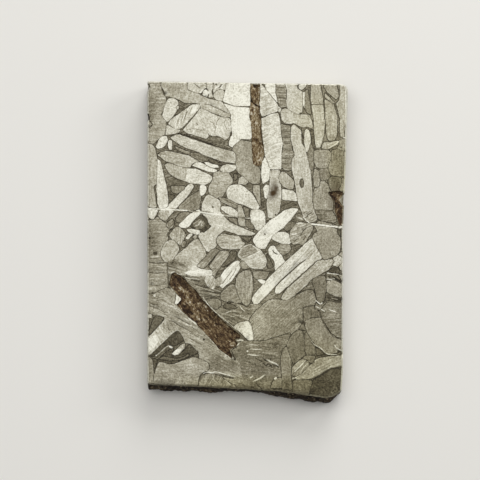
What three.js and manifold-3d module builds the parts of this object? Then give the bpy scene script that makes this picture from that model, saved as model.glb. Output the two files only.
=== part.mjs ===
// A small etched slice of an iron meteorite, in millimetres.
// It lies on its back: +Z comes out of the etched face, +Y points to the sawn end and -Y to the
// natural crust. The origin is under the middle of the slice, on the surface that it rests on.
import * as THREE from "three";
import { mergeVertices } from "three/addons/utils/BufferGeometryUtils.js";
import Module from "manifold-3d";

const THICKNESS = 3.0;
const EDGE_BREAK = 0.12; // the small filed bevel round both faces

// The outline of the etched face, anticlockwise from the upper left, with each corner's round.
// The lower side is natural crust, and its corners say how far it swells out below the face.
const OUTLINE = [
  { name: "upper left", x: -9.05, y: 14.48, round: 0.2, swell: 0 },
  { name: "lower left", x: -8.97, y: -12.8, round: 0.25, swell: 0.38 },
  { name: "crust, left third", x: -4.3, y: -13.0, round: 1.0, swell: 0.34 },
  { name: "crust, middle", x: 0.2, y: -13.25, round: 1.0, swell: 0.1 },
  { name: "crust, right of the middle", x: 2.7, y: -13.4, round: 0.8, swell: 0.34 },
  { name: "crust, right third", x: 4.6, y: -13.65, round: 1.0, swell: 0.42 },
  { name: "crust, right end", x: 7.1, y: -14.05, round: 0.5, swell: 0.34 },
  { name: "broken corner", x: 8.35, y: -13.45, round: 0.3, swell: 0.04 },
  { name: "lower right", x: 8.47, y: -11.5, round: 0.5, swell: 0 },
  { name: "right side, below the chip", x: 8.56, y: 1.6, round: 1.2, swell: 0 },
  { name: "right side, above the chip", x: 8.78, y: 6.4, round: 1.2, swell: 0 },
  { name: "upper right", x: 9.05, y: 14.19, round: 0.75, swell: 0 },
];
const STEP_ON_CUTS = 0.8;
const STEP_ON_CRUST = 0.3;
const STEPS_ROUND_A_CORNER = 5;

// Below the face the crust swells out to its full measure, in lumps, and tucks in at the back.
// Depths are shares of the thickness.
const CRUST_LEVELS = [0, 0.12, 0.45, 0.8, 1.15, 1.5, 1.85, 2.2, 2.55, 2.88, 3.0];
const CRUST_FACING = { none: 0.25, full: 0.8 }; // how far a wall turns to -Y to count as crust
const CRUST_FULL_DEPTH = 0.45;
const CRUST_TUCK = { share: 0.45, depth: 0.75 };
const CRUST_LUMP = 0.12;
const LUMPS_FULL_DEPTH = 0.12;

// Chips out of the sawn edges: the place, the half length along the edge, the depth, and the
// height that each starts at and widens from.
const CHIPS = [
  { name: "corroded notch", x: 8.7, y: 3.75, reach: 0.55, depth: 0.26, from: 0.6 },
  { name: "upper left nick", x: -9.05, y: 13.95, reach: 0.3, depth: 0.16, from: 1.2 },
  { name: "left nick", x: -9.03, y: 11.1, reach: 0.25, depth: 0.12, from: 1.6 },
];
const CHIP_FLAT_SHARE = 0.3; // the middle of a chip that has its whole depth
const CHIP_RUN_IN = 0.5;

// Inclusions and a corroded pocket, which lie a little below the etched face with a broken floor.
const HOLLOWS = [
  {
    name: "upright inclusion",
    depth: 0.2,
    outline: [
      [0.16, 14.6], [0.16, 13.6], [0.3, 13.0], [0.12, 12.45], [0.08, 11.8], [0.2, 11.1],
      [0.24, 10.1], [0.32, 9.0], [0.36, 7.7], [0.55, 6.95], [0.95, 6.72], [1.2, 7.2],
      [1.42, 7.9], [1.28, 9.0], [1.18, 10.0], [1.16, 11.2], [1.1, 12.4], [1.1, 13.4],
      [1.12, 14.6],
    ],
  },
  {
    name: "slanting inclusion",
    depth: 0.28,
    outline: [
      [-6.75, -2.95], [-6.45, -2.75], [-5.9, -3.2], [-5.1, -4.0], [-4.35, -4.85], [-3.6, -5.75],
      [-2.8, -6.6], [-1.9, -7.4], [-1.0, -8.15], [-1.0, -8.6], [-1.45, -9.15], [-1.85, -9.7],
      [-1.35, -10.15], [-2.4, -9.75], [-3.6, -8.65], [-4.75, -7.55], [-5.6, -6.55],
      [-6.3, -5.75], [-5.85, -5.15], [-6.45, -4.3], [-6.95, -3.75],
    ],
  },
  {
    name: "corroded pocket",
    depth: 0.22,
    outline: [
      [7.25, 4.45], [7.9, 4.55], [8.9, 4.45], [9.2, 3.2], [9.2, 1.5], [8.2, 1.4], [7.85, 2.6],
      [7.75, 3.65], [7.45, 4.0],
    ],
  },
];
const FLOOR_ROUGHNESS = 0.07;
const FLOOR_GRAIN = { across: 3, along: 2 }; // how closely the floor's lumps follow each other
const HOLLOW_CLEARANCE = 0.4; // how far a hollow's cutter stands out of the face

// Waves whose sum looks uneven: each one's share, its radians per millimetre and how it bends.
const WAVES = [
  { share: 0.45, along: 2.9, up: 1.3, bend: 1.3 },
  { share: 0.33, along: 6.4, up: -3.7, bend: 1.9 },
  { share: 0.22, along: 9.7, up: 6.1, bend: 2.3 },
];

const MERGE_DISTANCE = 1e-4;

const wasm = await Module();
wasm.setup();

function smoothstep(low, high, value) {
  const t = Math.min(1, Math.max(0, (value - low) / (high - low)));
  return t * t * (3 - 2 * t);
}

// A smooth unevenness between about -1 and 1, from a few waves that don't repeat together.
function unevenness(along, up) {
  let sum = 0;
  for (const wave of WAVES) {
    const sway = wave.bend * Math.sin(wave.up * up + along);
    sum += wave.share * Math.sin(wave.along * along + sway);
  }
  return sum;
}

// The outline as points with their crust's swell, its corners rounded and its crust finely divided.
function outlinePoints() {
  const corners = OUTLINE.map((c) => ({ ...c, at: new THREE.Vector2(c.x, c.y) }));
  const roundEnd = (corner, other) =>
    corner.at.clone().add(other.at.clone().sub(corner.at).setLength(corner.round));
  const points = [];
  corners.forEach((corner, i) => {
    const before = corners[(i + corners.length - 1) % corners.length];
    const after = corners[(i + 1) % corners.length];
    const start = roundEnd(corner, before);
    const end = roundEnd(corner, after);
    const bend = new THREE.QuadraticBezierCurve(start, corner.at, end);
    for (const at of bend.getPoints(STEPS_ROUND_A_CORNER).slice(0, -1)) {
      points.push({ at, swell: corner.swell });
    }
    const run = new THREE.LineCurve(end, roundEnd(after, corner));
    const step = corner.swell > 0 ? STEP_ON_CRUST : STEP_ON_CUTS;
    const steps = Math.ceil(run.getLength() / step);
    for (let k = 0; k < steps; k++) {
      const swell = THREE.MathUtils.lerp(corner.swell, after.swell, k / steps);
      points.push({ at: run.getPoint(k / steps), swell });
    }
  });
  return points;
}

// Each outline point with its outward direction and its distance along the outline.
function withDirections(points) {
  let along = 0;
  return points.map((point, i) => {
    const before = points[(i + points.length - 1) % points.length];
    const after = points[(i + 1) % points.length];
    const tangent = after.at.clone().sub(before.at).normalize();
    const outward = new THREE.Vector2(tangent.y, -tangent.x);
    if (i > 0) along += point.at.distanceTo(before.at);
    return { ...point, outward, along };
  });
}

// How far the crust stands out of the outline towards -Y at a height.
function crustOffset(point, height) {
  const depth = (THICKNESS - height) / THICKNESS;
  const tuck = CRUST_TUCK.share * smoothstep(CRUST_TUCK.depth, 1, depth);
  const swell = point.swell * smoothstep(0, CRUST_FULL_DEPTH, depth) * (1 - tuck);
  const lumps = CRUST_LUMP * smoothstep(0, LUMPS_FULL_DEPTH, depth);
  const facing = smoothstep(CRUST_FACING.none, CRUST_FACING.full, -point.outward.y);
  return facing * (swell + lumps * unevenness(point.along, height));
}

// How deep the chips go into the wall at a height.
function chipDepth(point, height) {
  let depth = 0;
  for (const chip of CHIPS) {
    const distance = Math.hypot(point.at.x - chip.x, point.at.y - chip.y);
    const near = 1 - smoothstep(CHIP_FLAT_SHARE * chip.reach, chip.reach, distance);
    depth += chip.depth * near * smoothstep(chip.from, chip.from + CHIP_RUN_IN, height);
  }
  return depth;
}

// The place of an outline point's wall at a height.
function wallPoint(point, height) {
  const bevel = Math.max(0, EDGE_BREAK - Math.min(height, THICKNESS - height));
  const inset = bevel + chipDepth(point, height);
  const at = point.at.clone().addScaledVector(point.outward, -inset);
  return new THREE.Vector3(at.x, at.y - crustOffset(point, height), height);
}

// A closed body from rings of points stacked upwards, with a flat cap on each end.
function loft(rings) {
  const count = rings[0].length;
  const positions = rings.flat().flatMap((p) => [p.x, p.y, p.z]);
  const faces = [];
  for (let level = 0; level + 1 < rings.length; level++) {
    for (let i = 0; i < count; i++) {
      const a = level * count + i;
      const b = level * count + ((i + 1) % count);
      faces.push(a, b, b + count, a, b + count, a + count);
    }
  }
  const cap = (ring) => THREE.ShapeUtils.triangulateShape(
    ring.map((p) => new THREE.Vector2(p.x, p.y)),
    [],
  );
  const top = (rings.length - 1) * count;
  for (const [a, b, c] of cap(rings[0])) faces.push(a, c, b);
  for (const [a, b, c] of cap(rings.at(-1))) faces.push(top + a, top + b, top + c);
  return new THREE.BufferGeometry()
    .setAttribute("position", new THREE.Float32BufferAttribute(positions, 3))
    .setIndex(faces);
}

function slabGeometry() {
  const points = withDirections(outlinePoints());
  return loft(CRUST_LEVELS.map((height) => points.map((point) => wallPoint(point, height))));
}

// The cutter for one hollow: its outline drawn down to an uneven floor.
function hollowGeometry(hollow) {
  const outline = hollow.outline.map(([x, y]) => new THREE.Vector2(x, y));
  if (THREE.ShapeUtils.isClockWise(outline)) outline.reverse();
  const ring = (height) =>
    outline.map((p) => {
      const rough = unevenness(FLOOR_GRAIN.across * p.x, FLOOR_GRAIN.along * p.y);
      const onFloor = height < THICKNESS ? FLOOR_ROUGHNESS * rough : 0;
      return new THREE.Vector3(p.x, p.y, height + onFloor);
    });
  return loft([ring(THICKNESS - hollow.depth), ring(THICKNESS + HOLLOW_CLEARANCE)]);
}

function toSolid(geometry) {
  const merged = mergeVertices(geometry, MERGE_DISTANCE);
  return new wasm.Manifold(
    new wasm.Mesh({
      numProp: 3,
      vertProperties: merged.attributes.position.array,
      triVerts: new Uint32Array(merged.index.array),
    }),
  );
}

function toGeometry(solid) {
  const mesh = solid.getMesh();
  return new THREE.BufferGeometry()
    .setAttribute("position", new THREE.BufferAttribute(mesh.vertProperties, mesh.numProp))
    .setIndex(new THREE.BufferAttribute(mesh.triVerts, 1));
}

// Puts the middle of the outline over the origin, which the crust's lumps shift a little.
function centred(geometry) {
  geometry.computeBoundingBox();
  const middle = geometry.boundingBox.getCenter(new THREE.Vector3());
  return geometry.translate(-middle.x, -middle.y, 0);
}

function meteoriteSlice() {
  const hollows = HOLLOWS.map((hollow) => toSolid(hollowGeometry(hollow)));
  const solid = hollows.reduce((body, cutter) => body.subtract(cutter), toSolid(slabGeometry()));
  const etchedIron = new THREE.MeshStandardMaterial({
    color: 0x8f8b80,
    roughness: 0.42,
    metalness: 0.85,
  });
  const geometry = centred(toGeometry(solid));
  geometry.computeVertexNormals();
  const mesh = new THREE.Mesh(geometry, etchedIron);
  mesh.name = "meteorite_slice";
  return mesh;
}

const group = new THREE.Group();
group.add(meteoriteSlice());

export default group;
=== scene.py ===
"""A small etched slice of an iron meteorite on a pale table, seen from almost straight above.

It lies on its back: +Z comes out of the etched face, +Y points to the sawn end and -Y to the natural
crust. The etch pattern is written down as named grains, seams and dots, in pixels of the reference
picture, and Viewpoint turns those into places on the face. Sizes are in millimetres unless a name
says otherwise.
"""

import logging
import math
import random
from dataclasses import dataclass, field
from enum import Enum, IntEnum

import bmesh
import bpy
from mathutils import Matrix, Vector, noise
from mathutils.geometry import delaunay_2d_cdt


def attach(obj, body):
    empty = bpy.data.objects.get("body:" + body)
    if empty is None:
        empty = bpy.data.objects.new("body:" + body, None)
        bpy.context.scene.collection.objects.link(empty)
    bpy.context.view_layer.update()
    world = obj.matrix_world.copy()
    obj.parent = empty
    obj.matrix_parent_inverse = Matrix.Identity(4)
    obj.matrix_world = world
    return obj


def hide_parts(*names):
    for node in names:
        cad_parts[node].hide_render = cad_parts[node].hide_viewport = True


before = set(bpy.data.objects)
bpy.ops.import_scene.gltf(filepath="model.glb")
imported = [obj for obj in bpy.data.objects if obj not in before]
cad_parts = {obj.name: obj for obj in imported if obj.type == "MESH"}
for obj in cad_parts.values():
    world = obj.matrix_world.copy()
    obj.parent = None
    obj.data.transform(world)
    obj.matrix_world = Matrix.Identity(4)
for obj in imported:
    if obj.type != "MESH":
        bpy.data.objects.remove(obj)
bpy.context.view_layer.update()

log = logging.getLogger("meteorite_slice")

MM = 0.001

Pixel = tuple[float, float]
Place = tuple[float, float]
Colour = tuple[float, float, float]  # as the picture has it, each from 0 to 255
Stop = tuple[float, Colour]  # a place on a colour ramp
Noises = tuple[tuple[float, float], ...]  # the share of each and its waves to the millimetre
Socket = bpy.types.NodeSocket

THICKNESS = 3.0
EDGE_BREAK = 0.12
HALF_LENGTH = 14.4568
CENTRING = Vector((0.0127, -0.0200))  # the crust's lumps shift the middle of the outline this far


def smoothstep(low: float, high: float, value: float) -> float:
    """Goes smoothly from 0 at low to 1 at high."""
    t = min(1.0, max(0.0, (value - low) / (high - low)))
    return t * t * (3 - 2 * t)


class Tone(Enum):
    """How light a patch of metal looks in the picture, as a grey from 0 to 255."""

    WHITE = 228
    BRIGHT = 211
    LIGHT = 194
    PALE = 176
    MID = 158
    DULL = 140
    SHADE = 122
    DEEP = 103
    DARK = 82
    BLACK = 55

    @property
    def share(self) -> float:
        """The grey as a share of white."""
        return self.value / 255


WHITE, BRIGHT, LIGHT, PALE, MID, DULL, SHADE, DEEP, DARK, BLACK = Tone


class Finish(IntEnum):
    """The finishes of the slice, in the order of its material slots."""

    METAL = 0
    MINERAL = 1
    CRUST = 2


@dataclass(frozen=True)
class Viewpoint:
    """The reference picture's view of the slice.

    Attributes:
        aim: the place on the face that the middle of the picture shows.
        distance: from there to the camera.
        elevation: of the camera above the face, in degrees, leaning towards -Y.
        width: of the view at the aim.
        pixels: the picture's width and height.
    """

    aim: Place = (-0.687, 0.09)
    distance: float = 220.0
    elevation: float = 85.0
    width: float = 42.97
    pixels: int = 480

    @property
    def towards_camera(self) -> Vector:
        """The direction from the aim to the camera."""
        tilt = math.radians(self.elevation)
        return Vector((0.0, -math.cos(tilt), math.sin(tilt)))

    @property
    def per_pixel(self) -> float:
        """Millimetres on the face to a pixel."""
        return self.width / self.pixels

    def on_face(self, pixel: Pixel) -> Vector:
        """Turns a place in the picture into the place on the face that it shows.

        Args:
            pixel: the place in the picture.

        Returns:
            The place on the face.
        """
        right = (pixel[0] - self.pixels / 2) * self.per_pixel
        up = (self.pixels / 2 - pixel[1]) * self.per_pixel
        back = self.towards_camera
        y = up / (back.z + up * back.y / self.distance)
        x = right * (self.distance - y * back.y) / self.distance
        return Vector((x + self.aim[0], y + self.aim[1]))


VIEW = Viewpoint()


@dataclass(frozen=True)
class Grain:
    """A patch of one tone, with a thin etched groove round it.

    Attributes:
        name: what it is, and roughly where.
        tone: how light it is.
        outline: its corners in pixels.
        lay: the direction of its fine lines, in degrees from +X.
        brushed: how strongly those lines show.
        edged: whether a groove runs round it; a change of tone inside a grain has none.
    """

    name: str
    tone: Tone
    outline: tuple[Pixel, ...]
    lay: float = 90.0
    brushed: float = 0.35
    edged: bool = True


@dataclass(frozen=True)
class Seam:
    """Thin lines of one tone and width, such as scratches or cracks, that thin out at their ends."""

    tone: Tone
    width: float
    paths: tuple[tuple[Pixel, ...], ...]


@dataclass(frozen=True)
class Dot:
    """A round speck or pit."""

    name: str
    tone: Tone
    at: Pixel
    radius: float


Mark = Grain | Seam | Dot


@dataclass(frozen=True)
class Tint:
    """A soft change of colour on the face: the olive and brown tints are stains, and the tone shifts include
    painted highlights and painted shade.

    Attributes:
        name: what it is, or where.
        at: its middle in pixels.
        reach: how far it goes across and up, in pixels.
        strength: in its middle.
        core: the share of its reach that has its full strength.
    """

    name: str
    at: Pixel
    reach: tuple[float, float]
    strength: float
    core: float = 0.2

    def ring(self) -> list[Vector]:
        """Draws a rectangle round the tint.

        Returns:
            Its corners on the face.
        """
        (x, y), (across, up) = self.at, self.reach
        corners = ((x - across, y - up), (x - across, y + up), (x + across, y + up), (x + across, y - up))
        return [VIEW.on_face(corner) for corner in corners]

    def strength_at(self, place: Vector) -> float:
        """Finds how strong the tint is at a place.

        Args:
            place: the place on the face.

        Returns:
            Its strength there.
        """
        away = place - VIEW.on_face(self.at)
        distance = math.hypot(away.x / self.reach[0], away.y / self.reach[1]) / VIEW.per_pixel
        return self.strength * (1 - smoothstep(self.core, 1, distance))


@dataclass(frozen=True)
class Hollow:
    """A mineral or a corroded pocket that lies below the face, with an uneven floor.

    Attributes:
        name: what it is; a later hollow is cut into an earlier one.
        depth: of its floor below the face.
        tone: how light its floor is, from 0 to 1.
        lay: the direction of the bands on its floor, in degrees from +X.
        outline: its corners on the face.
    """

    name: str
    depth: float
    tone: float
    lay: float
    outline: tuple[Place, ...]


@dataclass(frozen=True)
class Corner:
    """A corner of the slice's outline, and how far the crust swells out below it."""

    name: str
    x: float
    y: float
    round: float
    swell: float = 0.0


@dataclass(frozen=True)
class Chip:
    """A chip out of a sawn edge, which starts at a height and widens from there."""

    name: str
    x: float
    y: float
    reach: float
    depth: float
    start: float


@dataclass(frozen=True)
class Wave:
    """One of the waves whose sum looks uneven, in radians per millimetre."""

    share: float
    along: float
    up: float
    bend: float


CORNERS = (
    Corner("upper left", -9.05, 14.48, 0.2),
    Corner("lower left", -8.97, -12.8, 0.25, 0.38),
    Corner("crust, left third", -4.3, -13.0, 1.0, 0.34),
    Corner("crust, middle", 0.2, -13.25, 1.0, 0.1),
    Corner("crust, right of the middle", 2.7, -13.4, 0.8, 0.34),
    Corner("crust, right third", 4.6, -13.65, 1.0, 0.42),
    Corner("crust, right end", 7.1, -14.05, 0.5, 0.34),
    Corner("broken corner", 8.35, -13.45, 0.3, 0.04),
    Corner("lower right", 8.47, -11.5, 0.5),
    Corner("right side, below the chip", 8.56, 1.6, 1.2),
    Corner("right side, above the chip", 8.78, 6.4, 1.2),
    Corner("upper right", 9.05, 14.19, 0.75),
)

CHIPS = (
    Chip("corroded notch", 8.7, 3.75, 0.55, 0.26, 0.6),
    Chip("upper left nick", -9.05, 13.95, 0.3, 0.16, 1.2),
    Chip("left nick", -9.03, 11.1, 0.25, 0.12, 1.6),
)

WAVES = (
    Wave(0.45, 2.9, 1.3, 1.3),
    Wave(0.33, 6.4, -3.7, 1.9),
    Wave(0.22, 9.7, 6.1, 2.3),
)

HOLLOWS = (
    Hollow("upright inclusion", 0.2, 0.55, 90, (
        (0.2, 14.6), (0.2, 14.1), (0.32, 12.87), (0.15, 12.08), (0.18, 11.3), (0.32, 10.17),
        (0.37, 7.93), (0.46, 7.03), (0.71, 6.74), (1.16, 6.8), (1.39, 7.36), (1.5, 7.93),
        (1.44, 8.6), (1.3, 9.05), (1.22, 9.95), (1.27, 10.85), (1.16, 11.4), (1.08, 12.42),
        (1.12, 13.2), (1.14, 14.6))),
    Hollow("slanting inclusion", 0.28, 0.38, -47, (
        (-6.82, -2.85), (-7.05, -3.84), (-5.93, -5.18), (-6.37, -5.72), (-5.16, -6.97),
        (-4.63, -7.24), (-4.54, -7.51), (-3.91, -8.13), (-2.48, -9.74), (-1.32, -10.58),
        (-1.64, -9.69), (-1.06, -9.42), (-0.92, -9.2), (-1.15, -8.71), (-0.7, -8.71),
        (-0.66, -8.44), (-1.41, -7.82), (-2.57, -6.75), (-4.09, -5.18), (-4.41, -4.64),
        (-5.97, -3.12), (-6.51, -2.76))),
    Hollow("corroded pocket", 0.22, 0.27, 70, (
        (7.25, 4.45), (7.9, 4.55), (8.9, 4.45), (9.2, 3.2), (9.2, 1.5), (8.2, 1.4), (7.85, 2.6),
        (7.75, 3.65), (7.45, 4.0))),
    Hollow("dark upper end of the slanting inclusion", 0.31, 0.27, -47, (
        (-6.78, -3.03), (-6.42, -3.08), (-5.26, -3.93), (-5.44, -4.29), (-5.97, -3.93),
        (-6.51, -4.11), (-6.82, -3.93))),
    Hollow("rusty band, upper", 0.26, 0.56, -47, (
        (-6.29, -4.15), (-5.97, -4), (-5.61, -4.29), (-5.48, -4.64), (-5.79, -4.64),
        (-6.15, -4.42))),
    Hollow("rusty band, middle", 0.26, 0.56, -47, (
        (-5.61, -4.82), (-5.3, -5), (-5.08, -5.45), (-5.12, -5.81), (-5.43, -5.54),
        (-5.63, -5.18))),
    Hollow("dark middle of it", 0.31, 0.26, -47, (
        (-6.06, -5.72), (-5.61, -5.76), (-5.16, -6.12), (-4.85, -6.52), (-5.16, -6.75),
        (-5.7, -6.34))),
    Hollow("rusty band, lower", 0.26, 0.57, -47, (
        (-4.9, -5.99), (-4.54, -6.21), (-4.27, -6.7), (-4.27, -7.15), (-4.63, -6.97),
        (-4.85, -6.43))),
    Hollow("pale lobe at its lower end", 0.24, 0.62, -47, (
        (-1.64, -9.16), (-1.32, -8.93), (-1.06, -9.16), (-1.19, -9.42), (-1.5, -9.51))),
    Hollow("hole in the upright inclusion", 0.34, 0.16, 90, (
        (0.42, 14.25), (0.7, 14.3), (1.0, 14.18), (1.02, 14.0), (0.79, 13.9), (0.5, 14.0))),
    Hollow("crack in the upright inclusion", 0.28, 0.2, 90, (
        (0.27, 12.88), (0.6, 12.5), (0.85, 12.36), (1.08, 12.27), (1.08, 12.15), (0.74, 12.2),
        (0.46, 12.46), (0.22, 12.74))),
    Hollow("pale ledge in the corroded pocket", 0.18, 0.42, 70, (
        (7.95, 4.3), (8.5, 4.2), (8.45, 3.7), (8.2, 3.3), (8.0, 3.7))),
    Hollow("second ledge", 0.16, 0.5, 60, (
        (8.35, 2.9), (8.6, 2.9), (8.75, 2.0), (8.55, 1.7), (8.45, 2.3))),
)

OLIVE_TINTS = (
    Tint("lower right", (322, 376), (56, 54), 0.6),
    Tint("above the crust", (245, 386), (95, 16), 0.8),
    Tint("right edge", (338, 170), (16, 46), 0.8),
    Tint("lower middle", (262, 330), (90, 60), 0.35),
    Tint("upper right", (320, 120), (40, 50), 0.4),
)

BROWN_TINTS = (
    Tint("stain", (274, 190), (8.5, 14), 0.55),
    Tint("stain's heart", (273.3, 193), (4.8, 4.2), 0.6),
    Tint("stain's upper end", (276.3, 188), (3.6, 4.4), 0.4),
    Tint("stain's lower left", (270, 197), (6, 6.5), 0.3),
    Tint("rust by the pocket", (334, 200), (9, 16), 0.5),
    Tint("rust above the pocket", (337, 188), (5, 9), 0.35),
)

# Shifts added to the metal's grey. Some are the grains' own tone; the shadows, shade and highlights among
# them are painted light.
TONE_SHIFTS_AND_PAINTED_LIGHT = (
    Tint("bright foot of the long bars", (266, 290), (22, 20), 0.09),
    Tint("dull upper end of the long bars", (312, 252), (15, 15), -0.11),
    Tint("smear under the diamond", (196, 272), (26, 9), 0.12),
    Tint("shadow below the smear", (210, 285), (16, 9), -0.07),
    # Painted highlights along the long scratch, where it catches the light.
    Tint("painted highlight on the long scratch, left", (166, 209), (30, 5), 0.09),
    Tint("painted highlight on the long scratch, right", (326, 225), (20, 5), 0.1),
    Tint("painted highlight on the long scratch, middle", (211, 213.3), (15, 3.4), 0.22),
    Tint("painted highlight of the scratch on the upright oval", (258, 218.8), (8, 2.4), 0.25),
    Tint("dark gap by the rounded grain", (171.5, 263), (6.5, 4.5), -0.25),
    Tint("dark foot left of the olive ground", (287, 383), (6, 8), -0.2),
    Tint("left edge, upper", (150, 106), (9, 34), -0.1),
    Tint("left edge, middle", (152, 236), (11, 24), -0.08),
    Tint("light ground by the long grain", (300.5, 217.5), (5, 4), 0.1),
    # Painted highlight where the long scratch crosses the bar.
    Tint("painted highlight of the scratch on the crossing bar", (277, 221), (9, 2), 0.2),
    Tint("shade above the crust", (240, 391), (110, 8), -0.08),
    Tint("shade along the left edge", (146, 240), (6, 160), -0.06),
    Tint("light middle of the white slab", (241, 120), (12, 26), 0.04),
    Tint("dull start of the slanting grain", (172, 88), (20, 12), -0.06),
    Tint("light end of the slanting grain", (212, 104), (18, 10), 0.1),
    Tint("dull end of the left bright grain", (170, 324), (10, 8), -0.12),
    Tint("bright foot of the diamond", (196, 265), (9, 7), 0.14),
    Tint("light side of the calm grain", (259, 322), (17, 25), 0.12),
    Tint("light top of the calm grain", (271, 304), (15, 9), 0.06),
    Tint("ground at the inclusion's foot", (222, 363), (24, 15), -0.11),
    Tint("left part of the veined slab", (200, 121), (13, 11), 0.05),
    Tint("right part of the veined slab", (222, 127), (13, 13), 0.07),
    Tint("joint of the slab's two parts", (274, 116), (9, 11), -0.06),
    Tint("dull end of the long bar across", (224, 155), (18, 11), -0.1),
    Tint("lower left field", (151, 252), (11, 38), -0.08),
    Tint("ground over the left dark wedge", (154, 301), (14, 14), -0.09),
    Tint("ground by the right edge", (333, 312), (14, 22), 0.09),
    Tint("upper part of the blue-grey field", (238, 157), (15, 20), 0.03),
    Tint("diamond", (189, 253), (13, 10), 0.09),
    Tint("olive grain", (345, 161), (9, 13), -0.07),
    Tint("light top of the lower left grain", (188, 365), (16, 8), 0.07),
    Tint("dull foot of the lower left grain", (160, 385), (20, 9), -0.08),
    Tint("lower part of the long grain", (308, 200), (9, 20), -0.07),
    Tint("smooth right grain", (328, 238), (13, 12), -0.04),
    Tint("lower part of the blue-grey field", (243, 172), (14, 18), 0.05),
    Tint("shade beside the upright inclusion", (265, 125), (6, 45), -0.11),
    Tint("lower middle", (250, 366), (20, 14), -0.04),
)

UPPER_LEFT = (
    Grain("left edge strip", MID, ((146, 78), (161.5, 78), (162.5, 89), (166, 100), (162, 112), (160.5, 114),
        (166.5, 123.5), (164, 135), (161, 136), (153.5, 143.5), (146, 142)), 0, 0.9),
    Grain("long slanting grain", PALE, ((161.5, 78), (188, 78), (187, 89), (208, 99), (222, 102),
        (229.5, 113), (230, 117), (225, 117), (201, 107.5), (199.5, 103.5), (196, 102.5), (186, 103),
        (175.5, 97.5), (165, 96), (161.5, 86)), 80, 0.6),
    Grain("pale splinter", LIGHT, ((163.5, 87), (166, 88.5), (170.5, 95), (166.5, 95.5), (164.5, 92)), 60,
        edged=False),
    Grain("top edge grain", LIGHT, ((188.5, 78), (206, 78), (206.5, 87), (203, 89.5), (200, 93.5),
        (188, 89.5)), 60),
    Grain("cracked grain by the dot", LIGHT, ((207, 78), (215, 78), (213.5, 86), (211, 91), (213, 97.5),
        (208.5, 97.5), (209.5, 93), (207, 87))),
    Dot("dark ring round the dot", DEEP, (206, 93), 3.9),
    Grain("cracked corner", LIGHT, ((215.5, 78), (225.5, 78), (225, 90), (219.5, 89), (213.5, 93),
        (213.5, 87))),
    Grain("round grain", LIGHT, ((216, 92), (219.5, 90), (223, 90.5), (224.5, 92.5), (222.5, 101),
        (217, 99.5), (214, 97), (214, 94.5))),
    Dot("white dot", WHITE, (205.8, 93.2), 3.5),
    Grain("upright block", BRIGHT, ((168.5, 99), (173.5, 98.5), (178, 101.5), (177, 109.5), (173, 116),
        (167, 122), (162.5, 115.5), (166.5, 102))),
    Grain("slanting bar", LIGHT, ((192, 105), (199, 104.5), (200, 107.5), (181.5, 128), (177, 129.5),
        (168, 123.5), (171, 120)), 65, 1.1),
    Grain("chip in the dark wedge", LIGHT, ((176.5, 107.5), (178, 105.5), (179, 107), (177.5, 109.5))),
    Grain("grain under the slanting bar", LIGHT, ((167, 125), (177, 130.5), (180.5, 130), (178, 132.5),
        (165.5, 135))),
    Grain("veined slab", LIGHT, ((200.5, 108.5), (219, 117), (230, 118.5), (231, 131), (228.5, 137),
        (225.5, 140), (221.5, 137), (217, 135.5), (213, 135.5), (209.5, 134.5), (207, 132), (208.5, 136),
        (206.5, 138.5), (187, 132.5), (183, 130.5), (196.5, 114.5)), -60, 0.5),
    Seam(DEEP, 0.9, (((204, 104), (209, 104.5), (228.5, 113.5)),)),
    Seam(DARK, 1.4, (((162, 88.5), (165, 95)),)),
    Seam(WHITE, 2, (((200, 93), (203, 89)),)),
    Seam(WHITE, 3.4, (((192, 112.5), (196, 108)),)),
    Seam(WHITE, 0.9, (((175, 127), (176.5, 121)), ((182, 121.5), (185, 114)))),
    Seam(BRIGHT, 1.1, (((178, 125.5), (181, 118)), ((186, 116), (189, 109.5)))),
    Seam(MID, 0.9, (((176.5, 127), (179, 119)), ((180.5, 124), (183, 115.5)), ((189, 114.5), (192, 107)))),
    Seam(DULL, 0.9, (((184, 119), (187.5, 110.5)), ((209.5, 121), (213, 123), (215.5, 127), (215, 132)),
        ((213, 143), (222, 144.5), (230, 147.5)))),
    Seam(BLACK, 1.7, (((178, 134), (188, 136), (213, 145)),)),
    Seam(DULL, 0.7, (((219.5, 117.5), (217, 121.5), (216, 126)), ((226, 119), (224, 123.5), (227.5, 130.5)),
        ((186, 130), (194, 128.5), (199, 130), (205, 130.5)))),
    Seam(SHADE, 0.9, (((196, 122.5), (198, 125)),)),
    Seam(SHADE, 1.4, (((211, 139), (219, 140.5), (229, 144.5)),)),
)

UPPER_MIDDLE = (
    Grain("white slab, upper", WHITE, ((227, 78), (249.5, 78), (250, 106), (234.5, 105.5), (223, 101),
        (226, 91))),
    Grain("white slab, lower", WHITE, ((224, 103), (234, 107), (250, 108), (248.5, 117), (250, 121.5),
        (251.5, 134.5), (251, 139), (241, 138.5), (232.5, 147.5), (229.5, 145.5), (229.5, 141.5),
        (232.5, 133.5), (231, 113.5))),
    Grain("slab right of the inclusion, corner", WHITE, ((264.5, 80), (276, 80), (276, 92), (278, 98),
        (278, 102.5), (266, 88.5)), 20, 0.8),
    Grain("slab right of the inclusion, upper", BRIGHT, ((259.5, 80), (265.5, 90), (277.5, 105),
        (277.5, 111.5), (272, 112.5), (262, 116.5), (260, 110)), 20, 0.9),
    Grain("slab right of the inclusion, lower", BRIGHT, ((261, 119), (272.5, 114), (278, 113), (283, 140),
        (281, 152), (282, 158), (281, 169), (270.5, 169), (268, 165), (265.5, 157)), 20, 0.9),
    Grain("blue-grey field", MID, ((236.5, 169.5), (239, 173), (252.5, 183.5), (259.5, 183.5), (260, 172),
        (259, 168), (253.5, 165), (252, 160), (251.5, 142), (241, 140.5), (234, 146.5), (232.5, 149.5),
        (235.5, 154)), brushed=0.3),
    Seam(DARK, 2, (((231.5, 132), (231, 136)),)),
)

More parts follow.
